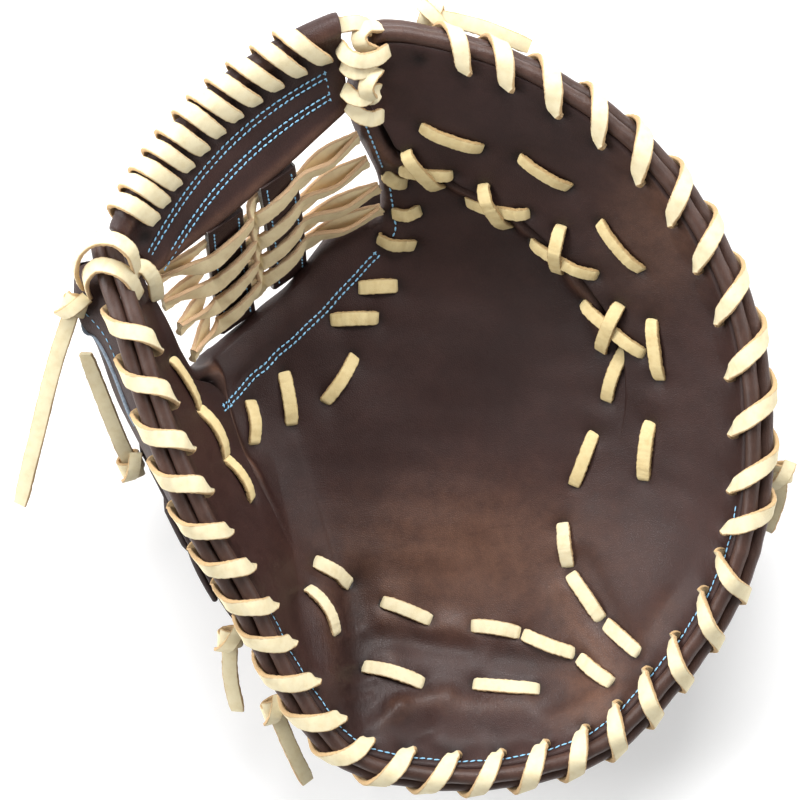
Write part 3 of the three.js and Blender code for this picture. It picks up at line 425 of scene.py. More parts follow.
# %% Rawhide lace
def rawhide(name, pale, tan, rim):
    def build(tree, spot):
        across, up = (attribute(tree, n) for n in ("across", "up"))
        ragged = noise(tree, spot, 900.0, 4.0, 0.7)
        speck = noise(tree, spot, 2400.0, 2.0, 0.6)
        streak = noise(tree, spot, 260.0, 3.0, 0.6)
        side = (abs(across) + (ragged - 0.5) * 0.22).ramp(0.80, 0.99)
        back = up.ramp(-0.2, -0.9)
        base = mixed((streak * 1.2 - 0.25).ramp(0.15, 0.85), colour(pale), colour(tan))
        base = mixed(side * 0.85, base, colour(rim))
        base = mixed(back * 0.7, base, colour(rim))
        base = mixed(speck.ramp(0.62, 0.80, 0.0, 0.35), base, colour(rim, 0.8))
        rough = 0.62 + side * 0.25 + speck * 0.08
        height = speck * 0.00010 + ragged * (0.00006 + side * 0.00035)
        return base, rough, height, {"Specular IOR Level": 0.35}
    return finish(name, build)


lace = rawhide("rawhide", "e0d4b1", "d5c499", "bb976a")
# The web's lace is a lighter copy of the rawhide: painted light that offsets the shade the bar casts on it.
web_lace = rawhide("web_rawhide_lightened", "ecdab0", "dec79a", "c39d7a")
tack_lace = rawhide("tack_rawhide", "dfcb98", "cfb680", "a8875a")
print("three laces")

# %% [markdown]
# The small finishes: thread that catches the light, the furry cut edge of leather, and wool felt.
# Each still has its own noise, because a single flat colour looks like paint.

# %% Thread, raw edge and felt
def small(name, low, high, rough, scale, height):
    def build(tree, spot):
        grain = noise(tree, spot, scale, 3.0, 0.65)
        tuft = noise(tree, spot, scale * 3.1, 2.0)
        base = mixed((grain * 0.8 + tuft * 0.4 - 0.1).ramp(0.25, 0.8), colour(low), colour(high))
        return base, rough + tuft * 0.1, (grain + tuft * 0.6) * height, {}
    return finish(name, build)


thread = small("blue_thread", "5fa9d8", "b4e2f8", 0.42, 2200.0, 0.00008)
raw_edge = small("raw_edge", "6f6c6a", "a9a6a2", 0.85, 1400.0, 0.00015)
felt = small("grey_blue_felt", "6a7684", "9aa6b2", 0.95, 1100.0, 0.0003)
print("three small finishes")

# %% [markdown]
# Most leather pieces here are walls: a closed ring of points at each place along the rim, joined to
# the next ring. One helper makes the mesh, closes both ends, and turns the faces outwards.

# %% Meshes from rings
def object_from(name, points, faces, material):
    mesh = bpy.data.meshes.new(name)
    mesh.from_pydata(np.asarray(points, float).tolist(), [], faces)
    made = bpy.data.objects.new(name, mesh)
    bpy.context.collection.objects.link(made)
    mesh.materials.append(material)
    return made


def outward(made):
    """Merges doubles, turns every face outwards and shades the piece smooth."""
    work = bmesh.new()
    work.from_mesh(made.data)
    bmesh.ops.remove_doubles(work, verts=work.verts, dist=1e-6)
    bmesh.ops.dissolve_degenerate(work, edges=work.edges, dist=1e-7)
    bmesh.ops.recalc_face_normals(work, faces=work.faces)
    work.to_mesh(made.data)
    work.free()
    made.data.shade_smooth()
    return made


def numbers(made, name, values):
    """Stores a number for every point of a mesh."""
    stored = made.data.attributes.new(name, "FLOAT", "POINT")
    stored.data.foreach_set("value", np.asarray(values, np.float32).ravel())


def skin(name, rings, material, stored):
    """A closed wall through rings of points, shape (rings, points, 3)."""
    count, sides = rings.shape[:2]
    faces = []
    for i in range(count - 1):
        a = i * sides
        b = a + sides
        faces += [(a + j, b + j, b + (j + 1) % sides, a + (j + 1) % sides) for j in range(sides)]
    faces += [tuple(range(sides)), tuple(range((count - 1) * sides, count * sides))]
    made = object_from(name, rings.reshape(-1, 3), faces, material)
    for key, values in stored.items():
        numbers(made, key, values)
    return outward(made)


def finished(piece, *nodes):
    """A finished piece rides on the mitt and stands for its CAD nodes."""
    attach(piece, "root")
    if nodes:
        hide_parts(*nodes)
    print(piece.name, len(piece.data.polygons), "faces for", len(nodes), "nodes")
    return piece


def near(points, spots, radius):
    """How close points lie to the nearest of some spots: 1 on it, fading over the radius."""
    flat = points.reshape(-1, 3)
    best = np.full(len(flat), 1e9)
    for spot in spots:
        best = np.minimum(best, ((flat - spot) ** 2).sum(-1))
    return np.exp(-best / radius**2).reshape(points.shape[:-1])


def wave(points, size, seed):
    """Smooth bumps from a few crossed sines, between -1 and 1."""
    chance = np.random.default_rng(seed)
    total = np.zeros(points.shape[:-1])
    for _ in range(7):
        direction = unit(chance.normal(size=3))
        pitch = 2 * math.pi / size * chance.uniform(0.7, 1.4)
        total += np.sin(points @ direction * pitch + chance.uniform(0, 6.28))
    return total / 4


print("mesh helpers ready")

# %% [markdown]
# The palm is padded felt under one hide. The dart seam on the finger side folds the leather over
# itself, the web edge is a stuffed lip, and every lace pulls a dimple. One relief function gives all
# of this for any section and share, so that tacks and stitches can lie on the same surface.

# %% Relief of the palm
PICTURE_SIZE, PICTURE_POINT = 800, 0.00041
PALM_WALL = 0.004
LIP_PAD, LIP_EDGE, LIP_WIDTH, LIP_DROP = 0.008, 0.004, 0.011, 0.003
TABLE_COUNT = 231
_table_u = np.linspace(0, LAST, TABLE_COUNT)
_table_line = palm_face(_table_u[:, None], _shares[None, :])
_table_run = np.concatenate([np.zeros((TABLE_COUNT, 1)), np.cumsum(
    np.linalg.norm(np.diff(_table_line, axis=1), axis=-1), 1)], 1)


def run_from_rim(u, v):
    """Distance along the leather from the welt to (u, v)."""
    u, v = np.broadcast_arrays(np.asarray(u, float), np.asarray(v, float))
    a = np.clip(u / LAST * (TABLE_COUNT - 1), 0, TABLE_COUNT - 1.001)
    b = np.clip((1 - v) * (SHARE_COUNT - 1), 0, SHARE_COUNT - 1.001)
    i, j = a.astype(int), b.astype(int)
    f, g = a - i, b - j
    low = _table_run[i, j] * (1 - g) + _table_run[i, j + 1] * g
    high = _table_run[i + 1, j] * (1 - g) + _table_run[i + 1, j + 1] * g
    return low * (1 - f) + high * f


_slot_inner = share_inside(_table_u, SLOT_INSET + SLOT_LENGTH)
_depth = np.linalg.norm(rim_point(_table_u) - edge_point(_table_u), axis=-1)
_lip_share = np.minimum(LIP_WIDTH / _depth, 0.2)
_seam_share = np.clip(column("seam", _table_u), _lip_share + 0.05, _slot_inner - 0.1)


def slot_inner(u):
    return np.interp(u, _table_u, _slot_inner)


def lip_share(u):
    return np.interp(u, _table_u, _lip_share)


def seam_share(u):
    return np.interp(u, _table_u, _seam_share)


def on_table(px, py, height=0.045):
    """The point of the model under a pixel of the photograph's frame, at a height."""
    k = VIEW_WIDTH / PICTURE_SIZE * (EYE_HEIGHT - height) / VIEW_DISTANCE
    return np.array([(px - PICTURE_SIZE / 2) * k, (PICTURE_SIZE / 2 - py) * k]) + MIDDLE[:2]


# Folds as start x and y, end x and y and width in picture points, and rise in millimetres.
FOLDS = [
    (322, 600, 334, 700, 18, 1.8), (358, 586, 358, 716, 17, -2.6), (386, 604, 388, 664, 18, 1.6),
    (366, 738, 398, 712, 12, 3.0), (398, 712, 446, 698, 13, 2.4), (404, 742, 432, 728, 9, -2.2),
    (450, 712, 526, 707, 16, 2.4), (438, 744, 474, 745, 10, -2.0), (548, 730, 602, 706, 15, 2.2),
    (498, 743, 545, 739, 10, -2.0), (380, 640, 470, 652, 13, -2.2), (500, 658, 590, 668, 13, -2.0),
    (430, 628, 470, 634, 14, 1.4), (600, 660, 560, 596, 15, 1.6), (585, 560, 640, 680, 14, -1.5),
    (300, 600, 316, 660, 10, -2.0), (640, 650, 672, 600, 15, 1.7), (345, 742, 372, 736, 8, -1.6),
    (620, 692, 650, 657, 10, -1.6), (200, 372, 246, 452, 10, -1.5), (346, 668, 372, 662, 5, 0.9),
    (346, 684, 374, 680, 5, 0.9), (348, 700, 372, 697, 5, 0.8), (340, 640, 364, 633, 5, 0.8),
]


# Creased places as x, y and size in picture points.
CREASES = [
    (366, 700, 34), (352, 630, 26), (410, 690, 22), (312, 650, 20),
    (560, 640, 16), (480, 712, 26), (637, 396, 13),
]
# Patches of painted sheen, then of painted shade, as middle x and y, half width and half height in metres,
# and strength.
PAINTED_SHEEN = [
    (0.085, -0.112, 0.022, 0.020, 0.45), (0.030, -0.062, 0.075, 0.042, 0.60),
    (0.108, 0.080, 0.030, 0.050, 0.50),
]
PAINTED_SHADE = [(0.035, 0.052, 0.075, 0.065, 0.42), (0.062, 0.115, 0.040, 0.025, 0.30)]
# The dart begins to fold at a depth, with a pad below its seam and a slit between its two pads.
DART_START, DART_FULL = 0.0016, 0.0022
PAD_MIDDLE, PAD_WIDTH, PAD_SHARE = 0.0078, 0.0058, 0.62
SLIT_MIDDLE, SLIT_WIDTH, SLIT_DEPTH = 0.0008, 0.0016, 0.0032
HEEL_SEAM, HEEL_SEAM_WIDTH, HEEL_SEAM_DEPTH = 0.0163, 0.0028, 0.0010
LIP_BEAD, DIMPLE_DEPTH, RING_DEPTH = 0.0014, 0.0013, 0.0006
DIMPLE_SIZE, RING_SIZE = 0.0034, 0.0085


def bump(distance, width):
    """A smooth bump, 1 at distance 0."""
    return np.exp(-(distance / width) ** 2)


def patches(flat, table):
    """Soft oval patches of a table, added up."""
    return sum(strength * np.exp(-((flat[..., 0] - x) / wide) ** 2 - ((flat[..., 1] - y) / high) ** 2)
               for x, y, wide, high, strength in table)


def segment_distance(points, start, end):
    way = end - start
    t = np.clip(((points - start) @ way) / (way @ way), 0, 1)[..., None]
    return np.linalg.norm(points - start - way * t, axis=-1)


hole_points = np.concatenate([palm_face(slot_u, slot_v), palm_face(tack_ends[:, 0], tack_ends[:, 1])])


def relief(u, v, points):
    """Height over the plain face, shift towards the inner edge, and the wear and painted sheen, painted shade
    and crease there.
    """
    seam, top_end, lip = seam_share(u), slot_inner(u), lip_share(u)
    fold = np.maximum(column("fold", u), 0) * DEPTH
    x = run_from_rim(u, seam) - run_from_rim(u, v)
    reach = run_from_rim(u, seam) - run_from_rim(u, top_end)
    folded = np.clip((fold - DART_START) / DART_FULL, 0, 1)
    nose = fold * 0.35 + 0.0008
    crest = np.sqrt(np.clip(1 - (1 - np.clip(x / nose, 0, 1)) ** 2, 0, 1))
    fade = np.clip(1 - (x - nose) / np.maximum(reach * 0.9, 0.01), 0, 1)
    height = np.where(x > 0, fold * crest * fade * (1.6 - 0.6 * fade), 0.0)
    height = height + fold * PAD_SHARE * bump(x + PAD_MIDDLE, PAD_WIDTH)
    height = height - SLIT_DEPTH * folded * bump(x + SLIT_MIDDLE, SLIT_WIDTH)
    shift = fold * 0.30 * bump(x - nose * 0.8, 0.0026)
    t = np.clip(v / lip, 0, 1)
    height = height - LIP_DROP * (1 - np.sqrt(t * (2 - t))) + LIP_BEAD * bump(v / lip - 1.1, 0.7)
    edge = run_from_rim(u, 0 * v) - run_from_rim(u, v)
    sewn = np.clip((u - 5.8) * 2, 0, 1) * np.clip((16.8 - u) * 2, 0, 1)
    height = height - HEEL_SEAM_DEPTH * sewn * bump(edge - HEEL_SEAM, HEEL_SEAM_WIDTH)
    dimple = near(points, hole_points, DIMPLE_SIZE)
    ring = near(points, hole_points, RING_SIZE)
    height = height - DIMPLE_DEPTH * dimple - RING_DEPTH * ring
    flat = points[..., :2]
    bumps = np.zeros(points.shape[:-1])
    for x0, y0, x1, y1, width, rise in FOLDS:
        gone = segment_distance(flat, on_table(x0, y0), on_table(x1, y1))
        bumps += rise * 0.001 * bump(gone, width * PICTURE_POINT)
    calm = np.clip((run_from_rim(u, v) - 0.003) / 0.014, 0, 1) * np.clip(v / lip / 2, 0, 1)
    height = height + calm * (bumps + 0.0006 * wave(points, 0.055, 3) + 0.0002 * wave(points, 0.018, 4))
    # Wear and painted sheen: ridges, the lip, the pad below the dart and the sheen patches.
    wear = np.clip(bumps * 110, 0, 0.3) + 0.20 * bump(v / lip - 0.55, 0.5)
    wear += 0.42 * bump(x + 0.0080, 0.006) * folded
    wear += patches(flat, PAINTED_SHEEN)
    # Painted shade: dimples, fold valleys, the dart's slit and the shade patches.
    shade = np.clip(dimple * 0.8, 0, 1) + np.clip(-bumps * 160, 0, 0.4)
    shade += 1.5 * bump(x + 0.0006, 0.0021) * folded
    shade += patches(flat, PAINTED_SHADE)
    crease = np.zeros(points.shape[:-1])
    for px, py, size in CREASES:
        gone = np.linalg.norm(flat - on_table(px, py), axis=-1)
        crease += bump(gone, size * PICTURE_POINT)
    return height, shift, np.clip(wear, 0, 1.3), np.clip(shade, 0, 1), np.clip(crease, 0, 1)


def inward_way(u, v):
    """The way along the leather to its inner edge."""
    return unit(palm_face(u, np.maximum(v - STEP, 0)) - palm_face(u, np.minimum(v + STEP, 1)))


def palm_top(u, v):
    """Points on the dressed surface of the palm, and the leather's own direction there."""
    u, v = np.broadcast_arrays(np.asarray(u, float), np.asarray(v, float))
    points = palm_face(u, v)
    height, shift = relief(u, v, points)[:2]
    normal = palm_normal(u, v)
    return points + normal * height[..., None] + inward_way(u, v) * shift[..., None], normal


print("palm face at the middle", palm_face(10, 0.4).round(4))

# %% [markdown]
# The palm is one closed ring of points for each place along the rim: over the face, round the lip,
# and back along the lining. The rows crowd together at the seam, the lip and the laced edge, where
# the leather bends most.

# %% The palm
PALM_PLACES = 440


def spread(stops, counts):
    """Rows of shares between stops, each stop an array with one share for every place."""
    parts = [np.linspace(a, b, n, endpoint=False).T for a, b, n in zip(stops, stops[1:], counts)]
    return np.concatenate(parts + [np.asarray(stops[-1])[:, None]], 1)


def nose(a, b, before, steps=5):
    """Rows that round off an edge from row a to row b."""
    middle, out = (a + b) / 2, unit(a - before)
    size = np.linalg.norm(a - b, axis=-1, keepdims=True) / 2
    turns = np.linspace(0, math.pi, steps + 2)[1:-1]
    return np.stack([middle + (a - middle) * math.cos(t) + out * size * math.sin(t) for t in turns], 1)


def wall_rings(outer, inner):
    """Closed rings from an outer grid and an inner grid whose rows run back again."""
    return np.concatenate([outer, nose(outer[:, -1], inner[:, 0], outer[:, -2]), inner,
                           nose(inner[:, -1], outer[:, 0], inner[:, -2])], 1)


def build_palm():
    u = section_at(np.linspace(0, RIM_LENGTH, PALM_PLACES))
    seam, lip, hem = seam_share(u), lip_share(u), share_inside(u, 0.016)
    zero = 0 * u
    stops = [zero + 1, hem, np.maximum(seam + 0.06, lip + 0.12), seam + 0.016, seam - 0.020,
             seam + (lip - seam) * 0.25, (seam + lip) / 2, lip * 1.3, zero]
    face_v = spread(stops, [15, 30, 8, 20, 12, 10, 14, 14])
    back_v = spread([zero, lip * 1.3, (seam + lip) / 2, hem, zero + 1], [6, 6, 12, 6])
    grid_u = np.repeat(u[:, None], face_v.shape[1], 1)
    points = palm_face(grid_u, face_v)
    height, shift, wear, shade, crease = relief(grid_u, face_v, points)
    normal = sheet_normal(grid_u, face_v)
    outer = points + normal * height[..., None] + inward_way(grid_u, face_v) * shift[..., None]
    back_u = np.repeat(u[:, None], back_v.shape[1], 1)
    wall = np.interp(back_v / lip[:, None], [0, 1, 2.2], [LIP_EDGE + LIP_DROP, LIP_PAD, PALM_WALL])
    inner = palm_face(back_u, back_v) - sheet_normal(back_u, back_v) * wall[..., None]
    rings = wall_rings(outer, inner)
    extra = rings.shape[1] - face_v.shape[1]
    pad = np.zeros((len(u), extra))
    stored = {
        "wear": np.concatenate([wear, pad + 0.2], 1),
        "shade": np.concatenate([shade, pad + 0.3], 1),
        "crease": np.concatenate([crease, pad], 1)}
    return skin("palm_leather", rings, dark_leather, stored)


palm = finished(build_palm(), "palm")

# %% [markdown]
# The backs hang behind the palm and leave room for the hand. Where the mitt rests they are pressed
# flat on the table. They are built from the palm's own sections, moved back by the depth of the stall.

# %% Backs and heel lining
HAND_SPACE, INNER_EDGE_SPACE, BACK_WALL = 0.038, 0.015, 0.0032
RIM_SPACE = 2 * (WELT - WELT_STAND)
THUMB_BACK_END, FINGER_BACK_START = 6.42, 10.06
PUFF = 0.0007


def back_space(u, v):
    seam, lip, inner_slot = seam_share(u), lip_share(u), slot_inner(u)
    full = column("space", u) * HAND_SPACE
    opened = np.clip((inner_slot - v) / (inner_slot - seam - 0.04), 0, 1)
    closed = np.clip((seam - v) / (seam - lip), 0, 1)
    narrow = np.where(u < FINGER_BACK_START, np.clip(6 - u, 0, 1), np.clip((u - 16) / 2, 0, 1))
    swell = RIM_SPACE + (full - RIM_SPACE) * np.sin(opened * math.pi / 2)
    return swell + (np.minimum(INNER_EDGE_SPACE, swell) - swell) * narrow * closed**2


def behind_palm(u, v, space, wall):
    """Outside and inside points of a wall behind the palm, pressed flat where it rests."""
    normal = sheet_normal(u, v)
    outer = palm_face(u, v) - normal * np.asarray(space)[..., None]
    inner = outer + normal * wall
    pressed = np.clip(-outer[..., 2:] / 0.001, 0, 1)
    upright = outer + np.array([0, 0, 1.0]) * wall
    inner = inner + (upright - inner) * pressed
    lift = np.maximum(-outer[..., 2], 0)
    outer[..., 2] += lift
    inner[..., 2] += lift
    return outer, inner


def back_piece(name, material, u, v, space_of, wall, puff=0.0, places=None):
    grid_u = np.repeat(np.asarray(u)[:, None], v.shape[1], 1)
    outer, inner = behind_palm(grid_u, v, space_of(grid_u, v), wall)
    low = np.clip(outer[..., 2] / 0.006, 0, 1)
    dimple = near(outer, places, 0.0045) if places is not None else 0 * low
    soft = puff * wave(outer, 0.06, 8) * low - 0.0016 * dimple
    outer = outer - sheet_normal(grid_u, v) * soft[..., None]
    outer[..., 2] = np.maximum(outer[..., 2], 0)
    rings = wall_rings(outer, inner[:, ::-1])
    pad = np.zeros((len(rings), rings.shape[1] - v.shape[1]))
    rub = np.clip(1 - outer[..., 2] / 0.012, 0, 1) * 0.5
    stored = {
        "wear": np.concatenate([rub + 0 * low, pad], 1),
        "shade": np.concatenate([dimple + 0 * low, pad + 0.4], 1),
        "crease": np.concatenate([0.25 * low, pad], 1)}
    return skin(name, rings, material, stored)


def places_between(start, end, count):
    return section_at(np.linspace(start, end, count))


def back_rows(u):
    hem = share_inside(u, 0.014)
    seam, lip = seam_share(u), lip_share(u)
    return spread([0 * u + 1, hem, seam + 0.04, seam, lip], [10, 20, 6, 16])


def rim_depth(u, v):
    return 0 * u + RIM_SPACE


slot_backs = palm_face(slot_u, slot_v) - sheet_normal(slot_u, slot_v) * RIM_SPACE
thumb_end, finger_start = length_at(THUMB_BACK_END), length_at(FINGER_BACK_START)
backs = [("thumb_back", 0, thumb_end, 110), ("finger_back", finger_start, RIM_LENGTH, 210)]
for name, start, end, count in backs:
    u = places_between(start, end, count)
    made = back_piece(name + "_leather", back_leather, u, back_rows(u), back_space, BACK_WALL, PUFF,
                      slot_backs)
    finished(made, name)
u = places_between(thumb_end + 2 * GAP, finger_start - 2 * GAP, 90)
lining_rows = spread([0 * u + 1, share_inside(u, 0.008), share_inside(u, 0.016)], [10, 8])
made = back_piece("heel_facing", back_leather, u, lining_rows, rim_depth, BACK_WALL, 0.0, slot_backs)
finished(made, "heel_lining")

# %% [markdown]
# Everything long and thin, rolls and laces and posts alike, is the same job for Geometry Nodes: a
# rounded strip swept along a path. The path is a chain of points that stores which way the strip
# faces and how broad it is there. The tree writes how far a point lies across and up the strip, for
# the materials, and frays the cut edges a little.

# %% Node group: a strip along a path
def strip_group():
    group = bpy.data.node_groups.new("strip_along_path", "GeometryNodeTree")
    face = group.interface
    face.new_socket("Geometry", in_out="INPUT", socket_type="NodeSocketGeometry")
    for name, value in (("Width", 0.0065), ("Thickness", 0.0023), ("Corner", 0.0008), ("Fray", 0.0)):
        face.new_socket(name, in_out="INPUT", socket_type="NodeSocketFloat").default_value = value
    face.new_socket("Corner Steps", in_out="INPUT", socket_type="NodeSocketInt").default_value = 3
    face.new_socket("Seed", in_out="INPUT", socket_type="NodeSocketFloat").default_value = 1.0
    face.new_socket("Material", in_out="INPUT", socket_type="NodeSocketMaterial")
    face.new_socket("Geometry", in_out="OUTPUT", socket_type="NodeSocketGeometry")
    start = group.nodes.new("NodeGroupInput")
    given = {s.name: Value(group, s) for s in start.outputs if s.name}
    path = node(group, "GeometryNodeMeshToCurve", None, {"Mesh": given["Geometry"]})
    upward = node(group, "GeometryNodeInputNamedAttribute", {"data_type": "FLOAT_VECTOR"}, {"Name": "face"})
    path = node(group, "GeometryNodeSetCurveNormal", {"mode": "FREE"}, {"Curve": path, "Normal": upward})
    profile = node(group, "GeometryNodeCurvePrimitiveQuadrilateral", None, {
        "Width": given["Thickness"], "Height": given["Width"]})
    profile = node(group, "GeometryNodeFilletCurve", {"mode": "POLY"}, {
        "Curve": profile, "Count": given["Corner Steps"], "Radius": given["Corner"], "Limit Radius": True})
    spot = node(group, "GeometryNodeInputPosition")
    split = group.nodes.new("ShaderNodeSeparateXYZ")
    group.links.new(spot.socket, split.inputs[0])
    for name, axis, size in (("across", 1, "Width"), ("up", 0, "Thickness")):
        share = Value(group, split.outputs[axis]) / (given[size] * 0.5)
        profile = node(group, "GeometryNodeStoreNamedAttribute", {"data_type": "FLOAT", "domain": "POINT"}, {
            "Geometry": profile, "Name": name, "Value": share})
    broad = node(group, "GeometryNodeInputNamedAttribute", {"data_type": "FLOAT"}, {"Name": "broad"})
    mesh = node(group, "GeometryNodeCurveToMesh", None, {
        "Curve": path, "Profile Curve": profile, "Scale": broad, "Fill Caps": True})
    across = node(group, "GeometryNodeInputNamedAttribute", {"data_type": "FLOAT"}, {"Name": "across"})
    ragged = node(group, "ShaderNodeTexNoise", {"noise_dimensions": "4D"}, {
        "W": given["Seed"], "Scale": 700.0, "Detail": 2.0})
    push = (ragged - 0.5) * abs(across).ramp(0.55, 1.0) * given["Fray"]
    normal = node(group, "GeometryNodeInputNormal")
    offset = node(group, "ShaderNodeVectorMath", {"operation": "SCALE"}, {0: normal, "Scale": push})
    mesh = node(group, "GeometryNodeSetPosition", None, {"Geometry": mesh, "Offset": offset})
    mesh = node(group, "GeometryNodeSetShadeSmooth", None, {"Geometry": mesh})
    mesh = node(group, "GeometryNodeRealizeInstances", None, {"Geometry": mesh})
    mesh = node(group, "GeometryNodeSetMaterial", None, {"Geometry": mesh, "Material": given["Material"]})
    end = group.nodes.new("NodeGroupOutput")
    group.links.new(mesh.socket, end.inputs[0])
    return group


STRIP = strip_group()
print(STRIP.name, [i.name for i in STRIP.interface.items_tree])

# %% [markdown]
# The path objects are plain chains of points. A helper gives the modifier its inputs by their
# identifiers, asks Blender for the evaluated result, and keeps that as an ordinary mesh.

# %% From paths to strips
def made_by(group, name, paths, material, settings):
    """Runs a node group on chains of points, each (points, facing, broadness), and keeps the mesh."""
    points = np.concatenate([p for p, _, _ in paths])
    edges, first = [], 0
    for p, _, _ in paths:
        edges += [(first + k, first + k + 1) for k in range(len(p) - 1)]
        first += len(p)
    mesh = bpy.data.meshes.new(name + "_path")
    mesh.from_pydata(points.tolist(), edges, [])
    facing = np.concatenate([f for _, f, _ in paths]).astype(np.float32)
    mesh.attributes.new("face", "FLOAT_VECTOR", "POINT").data.foreach_set("vector", facing.ravel())
    broad = np.concatenate([b for _, _, b in paths]).astype(np.float32)
    mesh.attributes.new("broad", "FLOAT", "POINT").data.foreach_set("value", broad)
    source = bpy.data.objects.new(name + "_path", mesh)
    bpy.context.collection.objects.link(source)
    modifier = source.modifiers.new("nodes", "NODES")
    modifier.node_group = group
    known = {i.name: i.identifier for i in group.interface.items_tree if i.in_out == "INPUT"}
    for key, value in {"Material": material, **settings}.items():
        modifier[known[key]] = value
    bpy.context.view_layer.update()
    graph = bpy.context.evaluated_depsgraph_get()
    result = bpy.data.meshes.new_from_object(source.evaluated_get(graph))
    result.name = name
    made = bpy.data.objects.new(name, result)
    bpy.context.collection.objects.link(made)
    bpy.data.objects.remove(source)
    for key in ("face", "broad"):
        if key in result.attributes:
            result.attributes.remove(result.attributes[key])
    work = bmesh.new()
    work.from_mesh(result)
    bmesh.ops.recalc_face_normals(work, faces=work.faces)
    work.to_mesh(result)
    work.free()
    return made


def strips(name, paths, material, width, thickness, corner=0.0008, steps=3, fray=0.0, seed=1.0):
    return made_by(STRIP, name, paths, material, {
        "Width": width, "Thickness": thickness, "Corner": corner, "Corner Steps": steps,
        "Fray": fray, "Seed": seed})


def facing(points, guide):
    """The part of guide that is square to the path."""
    way = unit(np.gradient(points, axis=0))
    return unit(guide - (guide * way).sum(-1, keepdims=True) * way)


def turned(points, face, angles):
    """Facings turned about the path by angles."""
    way = unit(np.gradient(points, axis=0))
    side = np.cross(way, face)
    angles = np.asarray(angles)[..., None]
    return face * np.cos(angles) + side * np.sin(angles)


def smooth_path(keys, per=6):
    """A Catmull-Rom line through key rows of any width."""
    keys = np.asarray(keys, float)
    ghost = np.concatenate([[2 * keys[0] - keys[1]], keys, [2 * keys[-1] - keys[-2]]])
    rows = []
    for i in range(1, len(ghost) - 2):
        a, b, c, d = ghost[i - 1:i + 3]
        rows += [catmull(a, b, c, d, f) for f in np.arange(per) / per]
    return np.array(rows + [keys[-1]])


print("strips are swept by", STRIP.name)

# %% [markdown]
# The two rolled welts run all round, one on the palm and one on the backs. A wrap of lace squeezes
# the roll, so it bulges between the slots, as it does in the photograph.

# %% Welts
WELT_ROUND = 0.0032
TUCK = 0.0012


def roll_path(u, sign):
    """Middle of a welt, and its broadness, which is least where the lace wraps it."""
    point, _, rise, square = rim_frame(u)
    lengths = length_at(u)
    pinch = bump(lengths[:, None] - slots[None], 0.0055).max(1)
    tuck = TUCK if sign < 0 else 0.0
    middle = point + square * (sign * WELT_ROUND) + rise * (0.0004 * (1 - pinch) - tuck)[:, None]
    middle = middle + rise * (0.0003 * wave(point, 0.05, 21 + sign))[:, None]
    ends = np.minimum(np.minimum(lengths, RIM_LENGTH - lengths) / 0.004, 1)
    broad = (1.02 - 0.05 * pinch) * np.sqrt(np.clip(1 - (1 - ends) ** 2, 0.09, 1))
    return middle, square, broad


def with_numbers(made, **values):
    for name, value in values.items():
        numbers(made, name, np.full(len(made.data.vertices), value))
    return made


for name, sign in (("palm_welt", 1), ("back_welt", -1)):
    u = section_at(np.linspace(0.0, RIM_LENGTH, 760))
    middle, square, broad = roll_path(u, sign)
    roll = strips(name + "_roll", [(middle, square, broad)], roll_leather, 2 * WELT_ROUND, 2 * WELT_ROUND,
                  WELT_ROUND * 0.99, 5)
    finished(with_numbers(roll, wear=0.35, shade=0.0, crease=0.5), name)

# %% [markdown]
# The thumb's back is bound with a narrow felt piping that shows past the welts.

# %% Piping of the thumb's back
def back_line(u, inside, lift):
    """A line on the outside of the backs, a distance in from the welt, and the way it faces."""
    v = share_inside(u, inside)
    normal = sheet_normal(u, v)
    return palm_face(u, v) - normal * (back_space(u, v) + lift)[:, None], -normal


u = np.linspace(1.2, 3.6, 90)
points, away = back_line(u, 0.017, 0.0002)
taper = np.interp(u, [1.2, 1.4, 3.4, 3.6], [0.5, 1, 1, 0.5])
finished(strips("thumb_piping", [(points, away, taper)], felt, 0.0024, 0.0020, 0.0008, 3, 0.0006, 5.0))

# %% [markdown]
# The rim lace climbs over both welts from one slot to the next. A turn is drawn as a table of places
# square to the leather and along its rise, and each turn is bent a little differently by a fixed
# seed, because a hand pulled it.

# %% Rim lace
LACE_WIDTH, LACE_THICKNESS = 0.0066, 0.0021
LACE_CORNER, LACE_FRAY, TACK_FRAY, END_FRAY = 0.0007, 0.0009, 0.0011, 0.0010
FRONT_TURN = [
    [0, -8.6], [5.2, -8.6], [7.5, -8.0], [8.15, -5.0], [7.7, 0.0], [6.3, 3.0], [3.5, 4.4], [0, 4.3],
]
BACK_TURN = [[-3.4, 3.3], [-6.2, 1.8], [-7.6, -1.2], [-8.1, -5.4], [-7.5, -8.2], [-5.2, -8.6], [0, -8.6]]
TURN = np.array(FRONT_TURN + BACK_TURN)
TURN_PLACE = np.array([0, 0, 0.02, 0.12, 0.24, 0.34, 0.43, 0.5, 0.57, 0.66, 0.76, 0.88, 0.98, 1, 1])
TURN_BROAD = np.array([
    0.66, 0.74, 0.90, 1.0, 1.08, 1.10, 1.08, 1.06, 1.08, 1.10, 1.06, 1.0, 0.90, 0.74, 0.66])


def rim_turns(places, seed):
    """One long path over the rim through all slots of a run."""
    chance = np.random.default_rng(seed)
    rows = []
    for k, (start, end) in enumerate(zip(places, places[1:])):
        wide = 1 + chance.uniform(-0.06, 0.07)
        skew, lift = chance.uniform(-0.0007, 0.0007), chance.uniform(-0.0002, 0.0004)
        turn = TURN * 0.001 + np.array([0, 1]) * lift * (TURN[:, 1:] > 0)
        for j in range(len(TURN) - (0 if k == len(places) - 2 else 1)):
            length = start + (end - start) * TURN_PLACE[j] + skew * math.sin(TURN_PLACE[j] * math.pi)
            rows.append([length, turn[j, 0], turn[j, 1], TURN_BROAD[j] * wide])
    line = smooth_path(rows, 5)
    point, _, rise, square = rim_frame(section_at(line[:, 0]))
    path = point + square * line[:, 1:2] + rise * line[:, 2:3]
    out = unit(square * line[:, 1:2] * 0.9 + rise * (line[:, 2:3] + 0.001))
    out = np.where((line[:, 2:3] < -0.0075), -rise, out)
    return path, facing(path, out), line[:, 3]


